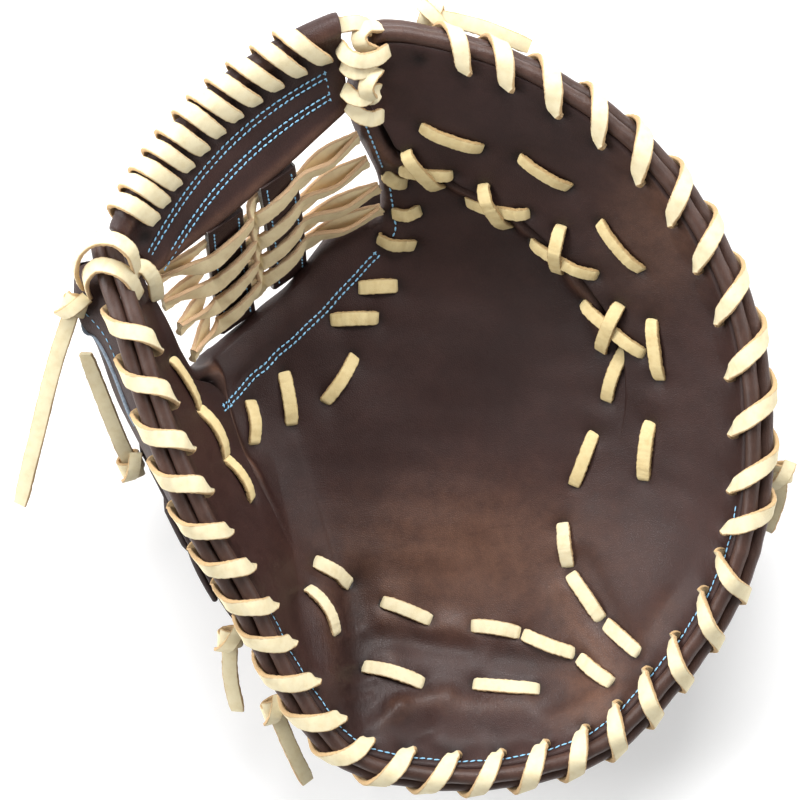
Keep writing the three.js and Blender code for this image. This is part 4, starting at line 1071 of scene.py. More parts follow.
for name, run, seed in (("rim_lace_thumb", thumb_slots, 11), ("rim_lace_finger", finger_slots, 12)):
    turns = strips(name + "_strip", [rim_turns(run, seed)], lace, LACE_WIDTH, LACE_THICKNESS, LACE_CORNER, 3,
                   LACE_FRAY, seed)
    finished(turns, name)

# %% [markdown]
# Short tacks of the same lace hold the padding. Each comes up through one hole, lies in the leather
# it presses down, and dives into the next, so its ends are narrow and steep. Tacks beside the heel
# are as pale as the rim lace, and all others use a darker tan lace.

# %% Tacks and crossed tacks
def taut(height):
    """A string pulled over a profile of heights: its upper hull, from end to end."""
    count = len(height)
    hull = height.copy()
    for i in range(count - 1):
        for k in range(i + 1, count):
            line = np.linspace(height[i], height[k], k - i + 1)
            hull[i:k + 1] = np.maximum(hull[i:k + 1], line)
    return hull


def tack_path(row, seed, stand=0.0013):
    u0, v0, u1, v1 = row
    chance = np.random.default_rng(seed)
    t = np.linspace(0, 1, 33)
    top, normal = palm_top(u0 + (u1 - u0) * t, v0 + (v1 - v0) * t)
    ends, _ = palm_top(np.array([u0, u1]), np.array([v0, v1]))
    reach = unit(ends[1] - ends[0]) * 0.0010
    ends = np.array([ends[0] - reach, ends[1] + reach])
    straight = ends[0] + (ends[1] - ends[0]) * t[:, None]
    above = ((top - straight) * normal).sum(-1)
    above[[0, -1]] = 0
    hump = taut(np.maximum(above, 0)) + stand * np.sin(np.clip(t, 0, 1) * math.pi) ** 0.35
    path = straight + normal * hump[:, None]
    way = unit(ends[1] - ends[0])
    side = np.cross(normal.mean(0), way)
    path = path + side * (chance.uniform(-0.0006, 0.0006) * np.sin(t * math.pi))[:, None]
    sinks = np.array([[0.0036, 0.0012], [0.0014, 0.0002]])
    first = path[0] - normal[0] * sinks[:, :1] + way * sinks[:, 1:]
    last = path[-1] - normal[-1] * sinks[::-1, :1] - way * sinks[::-1, 1:]
    path = smooth_path(np.concatenate([first, path[1:-1:2], last]), 3)
    guide = normal[np.clip((np.linspace(0, 1, len(path)) * 32).astype(int), 0, 32)]
    t = np.linspace(0, 1, len(path))
    near_end = np.minimum(t, 1 - t)
    broad = chance.uniform(0.86, 0.97) * np.interp(near_end, [0, 0.07, 0.16, 0.5], [0.74, 0.90, 1.02, 1.05])
    outwards = guide * 0.4 + way * np.where(t < 0.5, -1, 1)[:, None]
    face = facing(path, np.where(near_end[:, None] < 0.1, outwards, guide))
    return path, turned(path, face, chance.uniform(-0.12, 0.12) + 0 * t), broad


for i, row in enumerate(TACKS):
    look = lace if 7 < row[0] < 12.6 and row[1] > 0.5 else tack_lace
    path = [tack_path(row, 100 + i)]
    made = strips(f"tack_{i + 1}", path, look, LACE_WIDTH * 0.97, LACE_THICKNESS, 0.0008, 3, TACK_FRAY,
                  float(i))
    finished(made, f"palm_tack_{i + 1}")
for i, rows in enumerate(CROSSES):
    pair = [tack_path(rows[0], 200 + i, 0.0018), tack_path(rows[1], 210 + i, 0.0040)]
    made = strips(f"cross_{i + 1}", pair, tack_lace, LACE_WIDTH * 0.95, LACE_THICKNESS, 0.0008, 3, TACK_FRAY,
                  50.0 + i)
    finished(made, f"seam_cross_{i + 1}")

# %% [markdown]
# The web's top is a bar: a stuffed roll with a panel below it, bowed outward. Its section is drawn
# once, from the crown of the roll down the front, and mirrored to the back. Four rows of thread
# press shallow channels into the front.

# %% Web bar
BAR_CORNERS = {
    "top_thumb": [-0.383, 0.212, 1.055], "top_finger": [-0.083, 0.480, 1.07],
    "low_thumb": [-0.338, 0.166, 0.885], "low_finger": [-0.072, 0.380, 0.86]}
CORNER = {name: placed(shares) for name, shares in BAR_CORNERS.items()}
BAR_BOW, BAR_SAG, BAR_ROUND, BAR_NECK = 0.0125, 0.002, 0.0053, 0.011
BAR_LENGTH = float(np.linalg.norm(CORNER["top_finger"] - CORNER["top_thumb"]))
BAR_CROWN, BAR_HALF, BAR_HEM = 0.0071, 0.0021, 0.0024
# The slots for the lace: the first one, their span, the drop of their holes and the lean of the wraps.
BAR_TURNS = 11
BAR_FIRST, BAR_SPAN, BAR_HOLE, BAR_LEAN = 0.052, 0.82, 0.0121, 0.46
turn_share = np.linspace(0, 1, BAR_TURNS + 1)
bar_slots = BAR_FIRST + BAR_SPAN * (turn_share * (0.80 + 0.20 * turn_share))
THREAD_ROWS = [0.375, 0.425, 0.575, 0.625]


def bar_frame(s):
    s = np.asarray(s, float)[..., None]
    chord = unit(CORNER["top_finger"] - CORNER["top_thumb"])
    out = np.array([-chord[1], chord[0], 0])
    arch = 4 * s * (1 - s)
    along = unit(chord + out * 4 * (1 - 2 * s) * BAR_BOW / BAR_LENGTH)
    top = CORNER["top_thumb"] * (1 - s) + CORNER["top_finger"] * s + out * BAR_BOW * arch
    low = CORNER["low_thumb"] * (1 - s) + CORNER["low_finger"] * s - out * BAR_SAG * arch
    down = unit(low - top)
    return top, np.linalg.norm(low - top, axis=-1), down, along, unit(np.cross(down, along))


def thread_drop(s, share):
    """How far below the crown a row of thread runs. It stays clear of the lace slots."""
    length = bar_frame(s)[1]
    return np.maximum(share * length, BAR_NECK + 0.0065 + (share - THREAD_ROWS[0]) * 0.05)


def bar_face(s, drop):
    """Point on the front of the panel and the way it faces."""
    top, _, down, _, square = bar_frame(s)
    return top + down * np.asarray(drop)[..., None] + square * BAR_HALF, square


def bar_shear(s, drop):
    """The wraps lean towards the finger end, and more so the nearer they are to it."""
    return np.tan(BAR_LEAN * s) * (drop + BAR_CROWN) / BAR_LENGTH


def build_bar():
    s = np.linspace(0, 1, 230)
    top, length, down, _, square = bar_frame(s)
    turns = np.radians(np.linspace(0, 138, 15))
    rows = [(BAR_ROUND * math.sin(a), -BAR_ROUND * math.cos(a)) for a in turns]
    rows += [(0.0026, 0.0066), (BAR_HALF, 0.0088)]
    hem = 1 - BAR_HEM / 0.040 * (1 - np.sin(np.linspace(0.2, 1.57, 6)))
    panel = np.concatenate([np.linspace(0, 0.95, 44), hem])
    between = bar_slots[:-1] + 0.5 * (bar_slots[1] - bar_slots[0])
    pinch = bump((s[:, None] - between) * BAR_LENGTH, 0.0036).max(1)
    ends = np.minimum(np.minimum(s, 1 - s) * BAR_LENGTH / 0.003, 1)
    full = (1 - 0.07 * pinch) * (0.86 + 0.14 * np.sqrt(1 - (1 - ends) ** 2)) * np.where(s < 0.045, 0.90, 1)
    squares, drops = [], []
    for a, b in rows:
        squares.append(a * (full if b < 0.006 else 1) + 0 * s)
        drops.append(b * (full if b < 0.006 else 1) + 0 * s)
    for share in panel:
        drop = BAR_NECK + (length - BAR_NECK) * share
        rest = (length - drop) / BAR_HEM
        rounded = np.sqrt(np.clip(rest * (2 - np.clip(rest, 0, 1)), 0, 1))
        squares.append(BAR_HALF * rounded + 0.0006 * bump(rest - 1.6, 1.2))
        drops.append(drop)
    squares, drops = np.stack(squares, 1), np.stack(drops, 1)
    channel = sum(bump(drops - thread_drop(s, share)[:, None], 0.0011) for share in THREAD_ROWS)
    inside = np.clip((s - 0.02) * 30, 0, 1) * np.clip((0.93 - s) * 40, 0, 1)
    points = top[:, None] + down[:, None] * drops[..., None]
    hole_top, _, hole_down, _, _ = bar_frame(bar_slots + bar_shear(bar_slots, BAR_HOLE))
    holes = near(points, hole_top + hole_down * BAR_HOLE, 0.0034)
    soft = 0.0005 * wave(points, 0.03, 31) * np.clip((drops - 0.012) / 0.01, 0, 1)
    fine = 0.00012 * np.sin(s * 900 + 3 * wave(points[:, 0], 0.02, 5))[:, None] * (drops < 0.007)
    front = squares - 0.00045 * channel * inside[:, None] - 0.0012 * holes + soft + fine
    back = -squares + 0.0012 * holes + soft - fine
    front_points = points + square[:, None] * front[..., None]
    back_points = points + square[:, None] * back[..., None]
    rings = np.concatenate([front_points[:, ::-1], back_points[:, 1:]], 1)
    rub = np.clip(1 - abs(drops) / 0.008, 0, 1) * 0.45 + 0.5 * bump(length[:, None] - drops - 0.003, 0.004)
    shade = holes + 0.25 * channel * inside[:, None]
    creased = np.clip(1 - abs(drops - 0.004) / 0.009, 0, 1) * 0.8
    stored = {key: np.concatenate([a[:, ::-1], a[:, 1:]], 1) for key, a in (
        ("wear", rub), ("shade", shade), ("crease", creased))}
    return skin("web_bar_leather", rings, dark_leather, stored)


web_bar = finished(build_bar(), "web_bar")

# %% [markdown]
# The lace over the bar is wound like the rim lace, only round one roll.

# %% Bar lace
BAR_LACE_WIDTH = 0.0063
BAR_TURN = np.array([
    [0.0, 12.4], [3.0, 12.0], [5.0, 9.9], [6.3, 6.5], [6.75, 0.5], [5.7, -4.1], [2.9, -6.5], [0, -7.1]])
BAR_TURN = np.concatenate([BAR_TURN, BAR_TURN[-2::-1] * [-1, 1]]) * 0.001
BAR_PLACE = np.array([0, 0, 0.03, 0.12, 0.24, 0.34, 0.43, 0.5, 0.57, 0.66, 0.76, 0.88, 0.97, 1, 1])


def bar_turns(seed):
    chance = np.random.default_rng(seed)
    rows = []
    for k, (start, end) in enumerate(zip(bar_slots, bar_slots[1:])):
        wide, skew = 1 + chance.uniform(-0.04, 0.06), chance.uniform(-0.006, 0.006)
        for j in range(len(BAR_TURN) - (0 if k == BAR_TURNS - 1 else 1)):
            share = start + (end - start) * BAR_PLACE[j] + skew * math.sin(BAR_PLACE[j] * math.pi)
            rows.append([share, -BAR_TURN[j, 0], BAR_TURN[j, 1], TURN_BROAD[j] * wide])
    line = smooth_path(rows, 5)
    line[:, 0] += bar_shear(line[:, 0], line[:, 2])
    top, _, down, _, square = bar_frame(line[:, 0])
    path = top + square * line[:, 1:2] + down * line[:, 2:3]
    out = unit(square * line[:, 1:2] + down * np.minimum(line[:, 2:3], 0.001))
    out = np.where(line[:, 2:3] > 0.0117, down, out)
    return path, facing(path, out), line[:, 3]


made = strips("web_bar_strip", [bar_turns(31)], lace, BAR_LACE_WIDTH, LACE_THICKNESS, LACE_CORNER, 3,
              LACE_FRAY, 31.0)
finished(made, "web_bar_lace")

# %% [markdown]
# Two leather posts stand between the lip of the palm and the bar. They are sewn along both edges, and
# the cut edges are left pale.

# %% Posts
POSTS = [(0.34, 7.0), (0.61, 10.4)]
POST_WIDTH, POST_THICKNESS, POST_CLEAR, BAR_CLEAR, BAR_PANEL = 0.0175, 0.0035, 0.001, 0.0018, 0.005
POST_BOW, POST_PLACES = 0.0012, 30


def post_frame(share, section):
    top, length, down, _, _ = bar_frame(share)
    low = top + down * length
    chord = unit(CORNER["top_finger"] - CORNER["top_thumb"])
    edge = edge_point(section)
    away = (edge - palm_face(section, STEP)) * [1, 1, 0]
    foot = edge - palm_normal(section, 0) * (LIP_DROP + LIP_EDGE)
    foot = foot + unit(away) * (POST_THICKNESS / 2 + POST_CLEAR)
    line = unit(low - foot)
    side = unit(chord - line * (chord @ line))
    return low - line * (BAR_PANEL / 2 + BAR_CLEAR) + line * 0.004, foot, side, unit(np.cross(side, line))


def post_path(k, f):
    """The middle of a post. One bows backwards and the other forwards."""
    post_head, foot, _, face = posts[k]
    f = f[:, None]
    return post_head * (1 - f) + foot * f + face * POST_BOW * np.sin(f * math.pi) * (1 if k else -1)


posts = [post_frame(*row) for row in POSTS]
for k, (_, _, side, face) in enumerate(posts):
    path = post_path(k, np.linspace(0, 1, POST_PLACES))
    faces, broad = np.tile(face, (POST_PLACES, 1)), np.ones(POST_PLACES)
    body = strips(f"post_{k + 1}", [(path, faces, broad)], dark_leather, POST_WIDTH, POST_THICKNESS * 0.9,
                  0.0009, 3)
    finished(with_numbers(body, wear=0.1, shade=0.35, crease=0.2), f"web_post_{k + 1}")
    edges = [(path + side * s * (POST_WIDTH / 2 - 0.0001), faces, broad) for s in (1, -1)]
    finished(strips(f"post_edge_{k + 1}", edges, raw_edge, 0.0008, POST_THICKNESS * 0.62, 0.0003, 2, 0.0006))

# %% [markdown]
# Four rows of lace are woven round the posts. In each row one strand passes in front of a post while
# the other passes behind, and they change places in the gap, turning a little as they do.

# %% Web lace
# Rows as section at the thumb, share down each post, and section at the finger.
WEB_ROWS = [
    (0.9, 0.20, 0.18, 21.0), (1.5, 0.42, 0.40, 20.1), (2.1, 0.62, 0.60, 19.0), (2.7, 0.82, 0.78, 17.95),
]
WEAVE = POST_THICKNESS / 2 + LACE_THICKNESS / 2 + 0.0004
SLANT, WEB_LACE_WIDTH = 0.0034, LACE_WIDTH * 1.24


def web_strand(row, front, seed):
    thumb_section, down_one, down_two, finger_section = row
    chance = np.random.default_rng(seed)
    start, end = edge_point(thumb_section), edge_point(finger_section)
    line = unit(end - start)
    start = start - [0, 0, LIP_DROP] + line * 0.002
    end = end - [0, 0, LIP_DROP] - line * 0.002
    keys = [[*start, 15 * front, 0.88]]
    middles = [p[0] * (1 - d) + p[1] * d for p, d in zip(posts, (down_one, down_two))]
    first_face = posts[0][3]
    gap = (middles[0] + middles[1]) / 2
    out_of_hole = start * 0.55 + (middles[0] - posts[0][2] * POST_WIDTH / 2) * 0.45
    keys.append([*(out_of_hole + first_face * 0.0016 * front), 18 * front + chance.uniform(-10, 10), 1.0])
    for k, (middle, post) in enumerate(zip(middles, posts)):
        way = front if k == 0 else -front
        _, _, side, face = post
        up = unit(post[0] - post[1])
        for f, tilt in ((-0.62, -16), (-0.2, -6), (0.2, 6), (0.62, 16)):
            lift = WEAVE * (1.0 if abs(f) < 0.5 else 0.62)
            spot = middle + side * f * POST_WIDTH + face * lift * way + up * (SLANT * f * 2 * way)
            keys.append([*spot, tilt * way, 1.06 if abs(f) < 0.5 else 1.0])
        if k == 0:
            keys.append([*(gap + up * 0.0016 * front), 42 * front, 1.0])
    before_hole = end * 0.5 + (middles[1] + posts[1][2] * POST_WIDTH / 2) * 0.5
    before_hole = before_hole - first_face * 0.0026 * front + [0, 0, 0.0016 * front]
    keys.append([*before_hole, -14 * front + chance.uniform(-10, 10), 1.0])
    keys.append([*end, -10 * front, 0.86])
    line = smooth_path(keys, 9)
    path = line[:, :3]
    face = facing(path, np.tile(first_face, (len(path), 1)))
    return path, turned(path, face, np.radians(line[:, 3])), line[:, 4]


for i, row in enumerate(WEB_ROWS):
    pair = [web_strand(row, 1, 300 + i), web_strand(row, -1, 320 + i)]
    made = strips(f"web_strand_{i + 1}", pair, web_lace, WEB_LACE_WIDTH, LACE_THICKNESS * 0.95, LACE_CORNER,
                  3, TACK_FRAY, 60.0 + i)
    finished(made, f"web_lace_{i + 1}")

# %% [markdown]
# Free ends of lace hang from knots outside the mitt, and ties hold the web bar to the thumb tip and to
# the first finger. A knot is two tight turns of the same lace with one strand drawn across them.

# %% Knots, lace ends and ties
LACE_ENDS = {
    "thumb_tip_lace_end": [[-0.448, 0.130, 0.852], [-0.482, 0.045, 0.752], [-0.514, -0.055, 0.612],
                           [-0.542, -0.140, 0.472]],
    "thumb_back_lace_end": [[-0.384, -0.090, 0.42], [-0.400, -0.052, 0.50], [-0.426, 0.020, 0.63],
                            [-0.440, 0.062, 0.71]],
    "top_lace_end": [[0.040, 0.500, 0.851], [0.108, 0.486, 0.851], [0.180, 0.460, 0.841]],
    "heel_lace_end_1": [[-0.242, -0.314, 0.48], [-0.244, -0.370, 0.39], [-0.235, -0.424, 0.29]],
    "heel_lace_end_2": [[-0.182, -0.410, 0.44], [-0.160, -0.466, 0.36], [-0.134, -0.522, 0.27]],
    "side_lace_end": [[0.519, -0.095, 0.53], [0.518, -0.135, 0.47], [0.505, -0.175, 0.41]],
}
END_TWISTS = (0.3, -0.5, 0.2, 0.35, -0.4, 0.3)
SIDE_STAND = 0.006


def knot_paths(spot, way, face):
    """Two turns round the thong and a strand drawn across their front."""
    side = np.cross(way, face)
    t = np.linspace(0, 1, 46)
    a = t * 4 * math.pi + 0.6
    ring = spot + side * np.cos(a)[:, None] * 0.0046 + face * np.sin(a)[:, None] * 0.0030
    ring = ring + way * ((t - 0.5) * 0.0062)[:, None]
    out = unit(side * np.cos(a)[:, None] * 0.8 + face * np.sin(a)[:, None])
    turns = (ring, facing(ring, out), 0.82 + 0 * t)
    t = np.linspace(-1, 1, 20)
    across = spot + way * t[:, None] * 0.0056 + side * (t * 0.0040)[:, None]
    across = across + face * (0.0058 * (1 - 0.75 * t**2))[:, None]
    return [turns, (across, facing(across, face + way * (t * 0.9)[:, None]), 0.84 + 0 * t)]


def thong(shares, twist=0.0, seed=1, per=14, taper=0.85):
    path = smooth_path(placed(shares), per)
    chance = np.random.default_rng(seed)
    t = np.linspace(0, 1, len(path))
    face = facing(path, np.tile([0, 0, 1.0], (len(path), 1)))
    waviness = 0.0004 * np.sin(t * 9 + chance.uniform(0, 6))
    path = path + face * waviness[:, None]
    return path, turned(path, face, twist * t**1.5), np.interp(t, [0, 0.1, 0.93, 1], [0.8, 1, 1, taper])


for i, (name, shares) in enumerate(LACE_ENDS.items()):
    path, face, broad = thong(shares, END_TWISTS[i], 400 + i)
    path = path + [SIDE_STAND if name.startswith("side") else 0, 0, 0]
    way = unit(path[4] - path[0])
    made = strips(name + "_strip", [(path, face, broad)] + knot_paths(path[1], way, face[1]), lace,
                  LACE_WIDTH, LACE_THICKNESS * 0.95, LACE_CORNER, 3, END_FRAY, 80.0 + i)
    finished(made, name)


def seen(rows):
    """Points of the model from picture points and heights in millimetres."""
    return np.array([[*on_table(px, py, z * 0.001), z * 0.001] for px, py, z in rows])


TIES = {
    "thumb_tie": [
        [(80, 284, 106), (75, 268, 116), (80, 250, 124), (96, 239, 130), (116, 240, 133), (131, 252, 131),
         (137, 270, 121)],
        [(88, 292, 108), (86, 277, 118), (96, 266, 124), (112, 267, 127), (128, 276, 125), (138, 292, 115)],
        [(134, 266, 118), (145, 268, 118), (154, 280, 113), (157, 296, 104)],
    ],
    "finger_tie": [
        [(335, 24, 122), (342, 25, 128), (356, 23, 127), (368, 27, 121), (380, 36, 114)],
        [(380, 27, 119), (367, 27, 125), (359, 36, 127), (363, 47, 125), (376, 53, 119)],
        [(340, 46, 124), (347, 56, 129), (361, 61, 129), (377, 58, 125), (387, 51, 119)],
        [(344, 64, 122), (352, 71, 126), (363, 71, 125), (373, 65, 121)],
        [(377, 70, 119), (371, 76, 124), (366, 89, 123), (371, 99, 118), (377, 90, 116)],
        [(345, 90, 116), (353, 97, 119), (363, 99, 119), (372, 93, 116)],
        [(350, 106, 111), (359, 115, 113), (371, 119, 111), (381, 116, 106)],
    ],
}
# The ends of a strand dive into the leather, and it curls round a middle below it.
TIE_DIVE, TIE_MIDDLE = np.array([0, 0, 0.0085]), np.array([0, 0, 0.007])
for i, (name, strands) in enumerate(TIES.items()):
    paths = []
    for k, rows in enumerate(strands):
        keys = seen(rows)
        first = keys[0] + (keys[0] - keys[1]) * 0.15 - TIE_DIVE
        last = keys[-1] + (keys[-1] - keys[-2]) * 0.15 - TIE_DIVE
        path = smooth_path(np.concatenate([[first], keys, [last]]), 12)
        centre = keys.mean(0) - TIE_MIDDLE
        near_end = np.minimum(np.linspace(0, 1, len(path)), np.linspace(1, 0, len(path)))
        broad = np.interp(near_end, [0, 0.12, 0.25], [0.55, 0.8, 0.98])
        paths.append((path, facing(path, path - centre), broad))
    made = strips(name + "_strip", paths, lace, LACE_WIDTH, LACE_THICKNESS, LACE_CORNER, 3, END_FRAY,
                  90.0 + i)
    finished(made, name)

# %% [markdown]
# The wrist strap runs outside the thumb back, across the opening, to the finger back. It is a band of
# leather on felt. A keeper sits on it, and the tongue of the strap lies along the heel.

# %% Wrist strap, keeper and tongue
STRAP_WALL, TAB_WALL, SEAT_GAP, TAB_PUFF = 0.003, 0.0032, 0.00045, 0.0003


def strap_space(u, v):
    beyond = np.clip((u - 6.82) / 1.2, 0, 1)
    return back_space(u, v) + (SEAT_GAP + STRAP_WALL) * (1 - beyond)


def keeper_space(u, v):
    return strap_space(u, v) + SEAT_GAP + TAB_WALL


def tongue_space(u, v):
    return back_space(u, v) + 0.0012


def named_rows(u):
    """Shares of named rows: the upper middle, above the seam, the seam and the lower middle."""
    seam, lip, inner_slot = seam_share(u), lip_share(u), slot_inner(u)
    seam_top = seam + 0.04
    return inner_slot + (seam_top - inner_slot) * 0.45, seam_top, seam, (seam + lip) / 2


u = places_between(length_at(4.7), finger_start - STRAP_WALL / 2, 120)
upper, seam_top, seam, lower = named_rows(u)
stops = [upper + (seam_top - upper) * 0.4, seam_top, seam, seam + (lower - seam) * 0.75]
made = back_piece("strap_band", back_leather, u, spread(stops, [12, 4, 10]), strap_space, STRAP_WALL, 0.0004)
finished(made, "wrist_strap")
u = np.linspace(5.6, 6.7, 40)
upper, seam_top, seam, lower = named_rows(u)
keeper_rows = spread([upper + (seam_top - upper) * 0.5, upper + (seam_top - upper) * 0.95], [16])
made = back_piece("keeper_leather", back_leather, u, keeper_rows, keeper_space, TAB_WALL, TAB_PUFF)
finished(made, "strap_keeper")
u = np.linspace(6.6, 8.0, 60)
tongue_rows = spread([share_inside(u, 0.012), share_inside(u, 0.020), share_inside(u, 0.033)], [10, 14])
made = back_piece("tongue_leather", back_leather, u, tongue_rows, tongue_space, TAB_WALL, TAB_PUFF)
finished(made, "strap_tongue")

# %% [markdown]
# Rows of blue thread are the second job for Geometry Nodes. The tree puts a small capsule at every
# pitch of a path, turns it to the path and a little askew, and joins all of them into one mesh.

# %% Node group: a row of stitches
def stitch_group():
    group = bpy.data.node_groups.new("stitches_along_path", "GeometryNodeTree")
    face = group.interface
    face.new_socket("Geometry", in_out="INPUT", socket_type="NodeSocketGeometry")
    for name, value in (("Pitch", 0.0026), ("Length", 0.0021), ("Width", 0.0008), ("Askew", 0.16)):
        face.new_socket(name, in_out="INPUT", socket_type="NodeSocketFloat").default_value = value
    face.new_socket("Seed", in_out="INPUT", socket_type="NodeSocketInt").default_value = 1
    face.new_socket("Material", in_out="INPUT", socket_type="NodeSocketMaterial")
    face.new_socket("Geometry", in_out="OUTPUT", socket_type="NodeSocketGeometry")
    start = group.nodes.new("NodeGroupInput")
    given = {s.name: Value(group, s) for s in start.outputs if s.name}
    path = node(group, "GeometryNodeMeshToCurve", None, {"Mesh": given["Geometry"]})
    up = node(group, "GeometryNodeInputNamedAttribute", {"data_type": "FLOAT_VECTOR"}, {"Name": "face"})
    path = node(group, "GeometryNodeSetCurveNormal", {"mode": "FREE"}, {"Curve": path, "Normal": up})
    spots = group.nodes.new("GeometryNodeCurveToPoints")
    spots.mode = "LENGTH"
    group.links.new(path.socket, spots.inputs["Curve"])
    group.links.new(given["Pitch"].socket, spots.inputs["Length"])
    chance = node(group, "FunctionNodeRandomValue", {"data_type": "FLOAT"}, {
        2: given["Askew"] * -0.5, 3: given["Askew"] * 1.5, "Seed": given["Seed"]}, 1)
    lean = group.nodes.new("ShaderNodeCombineXYZ")
    group.links.new(chance.socket, lean.inputs[0])
    turn = node(group, "FunctionNodeRotateRotation", {"rotation_space": "LOCAL"}, {
        "Rotation": Value(group, spots.outputs["Rotation"])})
    turn_node = turn.socket.node
    group.links.new(lean.outputs[0], turn_node.inputs["Rotate By"])
    ball = node(group, "GeometryNodeMeshUVSphere", None, {"Segments": 8, "Rings": 6, "Radius": 0.5})
    size = group.nodes.new("ShaderNodeCombineXYZ")
    group.links.new((given["Width"] * 0.62).socket, size.inputs[0])
    group.links.new(given["Width"].socket, size.inputs[1])
    group.links.new(given["Length"].socket, size.inputs[2])
    stitched = node(group, "GeometryNodeInstanceOnPoints", None, {
        "Points": Value(group, spots.outputs["Points"]), "Instance": ball, "Rotation": turn,
        "Scale": Value(group, size.outputs[0])})
    mesh = node(group, "GeometryNodeRealizeInstances", None, {"Geometry": stitched})
    mesh = node(group, "GeometryNodeSetShadeSmooth", None, {"Geometry": mesh})
    mesh = node(group, "GeometryNodeSetMaterial", None, {"Geometry": mesh, "Material": given["Material"]})
    end = group.nodes.new("NodeGroupOutput")
    group.links.new(mesh.socket, end.inputs[0])
    return group


STITCHES = stitch_group()


def stitched(name, rows, look=None, pitch=0.0026, length=0.0021, width=0.0008, askew=0.16, seed=1):
    """Rows of (points, normals)."""
    paths = [(points, facing(points, normals), np.ones(len(points))) for points, normals in rows]
    made = made_by(STITCHES, name, paths, look or thread, {
        "Pitch": pitch, "Length": length, "Width": width, "Askew": askew, "Seed": seed})
    return finished(made)


THREAD_STAND = 0.0003
points, away = back_line(np.linspace(1.25, 2.75, 80), 0.0125, 0.0)
stitched("thumb_back_stitches", [(points + away * THREAD_STAND, away)], pitch=0.0030, seed=9)
u = section_at(np.linspace(length_at(6.2), length_at(14.2), 420))
points, normals = palm_top(u, share_inside(u, 0.0016))
stitched("heel_stitches", [(points + normals * THREAD_STAND, normals)], pitch=0.0030, length=0.0025, seed=2)


def palm_line(keys, shift=0.0, per=24):
    """A line over the palm through (section, share) keys, moved sideways by shift."""
    line = smooth_path(keys, per)
    points, normals = palm_top(line[:, 0], line[:, 1])
    return points + np.cross(normals, unit(np.gradient(points, axis=0))) * shift + normals * 0.0005, normals


WEB_SEAM = [
    (14.45, 0.096), (12.74, 0.094), (11.38, 0.092), (9.54, 0.098), (7.88, 0.118), (6.45, 0.174), (4.9, 0.335),
]
web_seam = [palm_line(WEB_SEAM, shift) for shift in (-0.0011, 0.0011)]
for end in (0, -1):
    first, last = web_seam[0][0][end], web_seam[1][0][end]
    closing = first + (last - first) * np.linspace(0, 1, 6)[:, None]
    web_seam.append((closing, np.tile(web_seam[0][1][end], (6, 1))))
stitched("web_seam_stitches", web_seam, seed=4)
FINGER_SEAMS = [
    [(21.35, 0.075), (20.9, 0.07), (20.2, 0.05), (19.67, 0.036)],
    [(18.9, 0.03), (18.34, 0.028), (17.4, 0.035), (16.6, 0.05)],
]
stitched("finger_seam_stitches", [palm_line(keys) for keys in FINGER_SEAMS], seed=6)

# %% [markdown]
# Each lace end goes into a punched hole. The hole shows as a dark, slightly shiny slot just past the
# end of the lace, so a small dished patch in a near-black finish is laid into the leather there: it
# is painted shade that stands for the inside of the hole.

# %% Holes as patches of painted shade
HOLE_ROUND = 14


def build_holes(places, ways, length, width, depth=0.0004):
    """Oval dished patches at (section, share) places. ways are directions past the lace's end."""
    points, faces = [], []
    tops, normals = palm_top(places[:, 0], places[:, 1])
    for spot, normal, way in zip(tops, normals, ways):
        way = unit(way - normal * (way @ normal))
        side = np.cross(normal, way)
        first = len(points)
        for scale, rise in ((1.0, 0.0003), (0.72, 0.0002), (0.5, -depth)):
            for a in np.linspace(0, 2 * math.pi, HOLE_ROUND, endpoint=False):
                across = way * math.cos(a) * length + side * math.sin(a) * width
                points.append(spot + across * scale + normal * rise)
        points.append(spot - normal * depth)
        after = [(j + 1) % HOLE_ROUND for j in range(HOLE_ROUND)]
        inner, middle = first + 2 * HOLE_ROUND, first + 3 * HOLE_ROUND
        for a in (first, first + HOLE_ROUND):
            b = a + HOLE_ROUND
            faces += [(a + j, a + k, b + k, b + j) for j, k in enumerate(after)]
        faces += [(inner + j, inner + k, middle) for j, k in enumerate(after)]
    return points, faces


tack_rows = np.concatenate([TACKS, CROSSES.reshape(-1, 4)])
places = np.concatenate([tack_rows[:, :2], tack_rows[:, 2:]])
starts, _ = palm_top(tack_rows[:, 0], tack_rows[:, 1])
stops, _ = palm_top(tack_rows[:, 2], tack_rows[:, 3])
ways = np.concatenate([unit(starts - stops), unit(stops - starts)])
tack_points, tack_faces = build_holes(places, ways, 0.0024, 0.0031)
# Painted shade: a near-black, slightly shiny finish stands for the inside of each hole.
hole_shade_painted = small("hole_shade_painted", "120b0a", "241714", 0.45, 900.0, 0.0001)
made = object_from("tack_hole_shade", tack_points, tack_faces, hole_shade_painted)
made.data.shade_smooth()
finished(made)

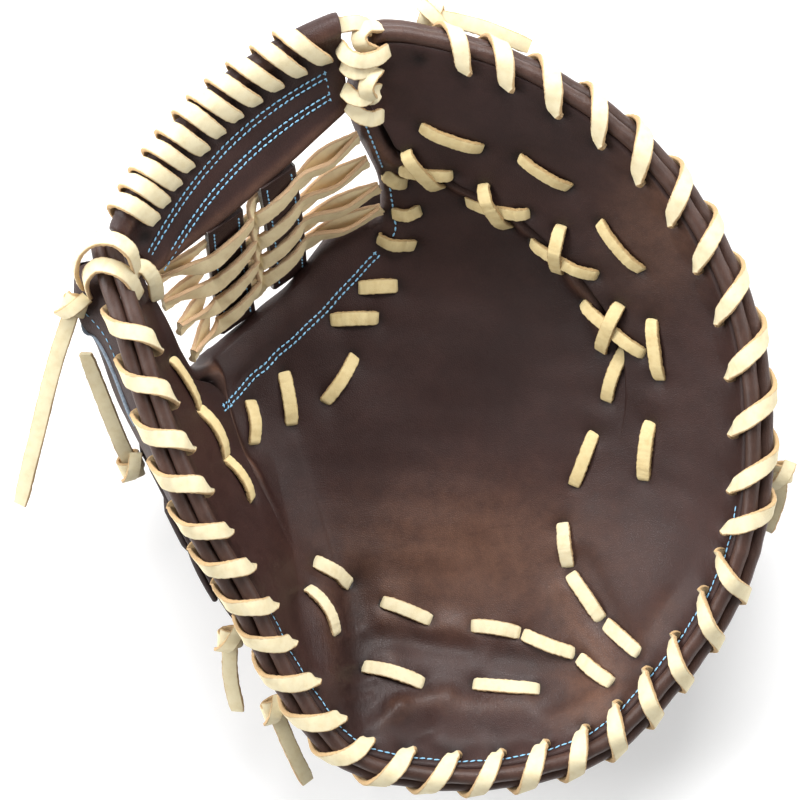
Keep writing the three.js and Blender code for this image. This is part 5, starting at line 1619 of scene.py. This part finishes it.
THREAD_START, THREAD_END = 0.035, 0.925
s = np.linspace(THREAD_START, THREAD_END, 90)
bar_rows = []
for share in THREAD_ROWS:
    points, normals = bar_face(s, thread_drop(s, share))
    bar_rows.append((points - normals * 0.0002, np.broadcast_to(normals, points.shape)))
ends = [thread_drop(np.array([THREAD_END]), THREAD_ROWS[k])[0] for k in (0, 3)]
points, normals = bar_face(np.full(9, THREAD_END), np.linspace(*ends, 9))
bar_rows.append((points - normals * 0.0001, normals))
stitched("bar_stitches", bar_rows, seed=3)

for k, (_, _, side, face) in enumerate(posts):
    middle = post_path(k, np.linspace(0.05, 0.95, 40)) + face * POST_THICKNESS * 0.46
    rows = [(middle + side * s * (POST_WIDTH / 2 - 0.0026), np.tile(face, (40, 1))) for s in (1, -1)]
    stitched(f"post_stitches_{k + 1}", rows, seed=5 + k)

# %% [markdown]
# The mitt lies on a pale floor that glows a little, with the key light beyond the fingertips and a
# weaker light at each side. The sky is bright low down and dim overhead.

# %% Floor and light
bpy.ops.mesh.primitive_plane_add(size=6)
floor = bpy.context.object
floor.name = "floor"
floor_look = bpy.data.materials.new("pale_floor")
floor_look.use_nodes = True
FLOOR = {
    "Base Color": (0.84, 0.84, 0.84, 1), "Emission Color": (1, 1, 1, 1), "Emission Strength": 0.22,
    "Roughness": 0.9}
for name, value in FLOOR.items():
    floor_look.node_tree.nodes["Principled BSDF"].inputs[name].default_value = value
floor.data.materials.append(floor_look)

world = bpy.data.worlds.new("room")
world.use_nodes = True
sky = world.node_tree.nodes["Background"]
direction = node(world.node_tree, "ShaderNodeTexCoord")
height = world.node_tree.nodes.new("ShaderNodeSeparateXYZ")
world.node_tree.links.new(direction.socket, height.inputs[0])
strength = Value(world.node_tree, height.outputs[2]).ramp(0.30, 0.95, 0.75, 0.08)
world.node_tree.links.new(strength.socket, sky.inputs["Strength"])
sky.inputs["Color"].default_value = (1, 1, 1, 1)
bpy.context.scene.world = world


def area_light(name, place, size, power):
    light = bpy.data.lights.new(name, "AREA")
    light.size, light.energy = size, power
    made = bpy.data.objects.new(name, light)
    made.location = place
    made.rotation_euler = (Vector(place) * -1).to_track_quat("-Z", "Y").to_euler()
    bpy.context.collection.objects.link(made)


area_light("key", (0.05, 1.10, 1.15), 0.9, 34)
area_light("left_fill", (-1.30, 0.15, 0.80), 1.0, 25)
area_light("right_fill", (1.30, 0.30, 0.80), 1.0, 9)
bpy.context.scene.view_settings.view_transform = "Standard"
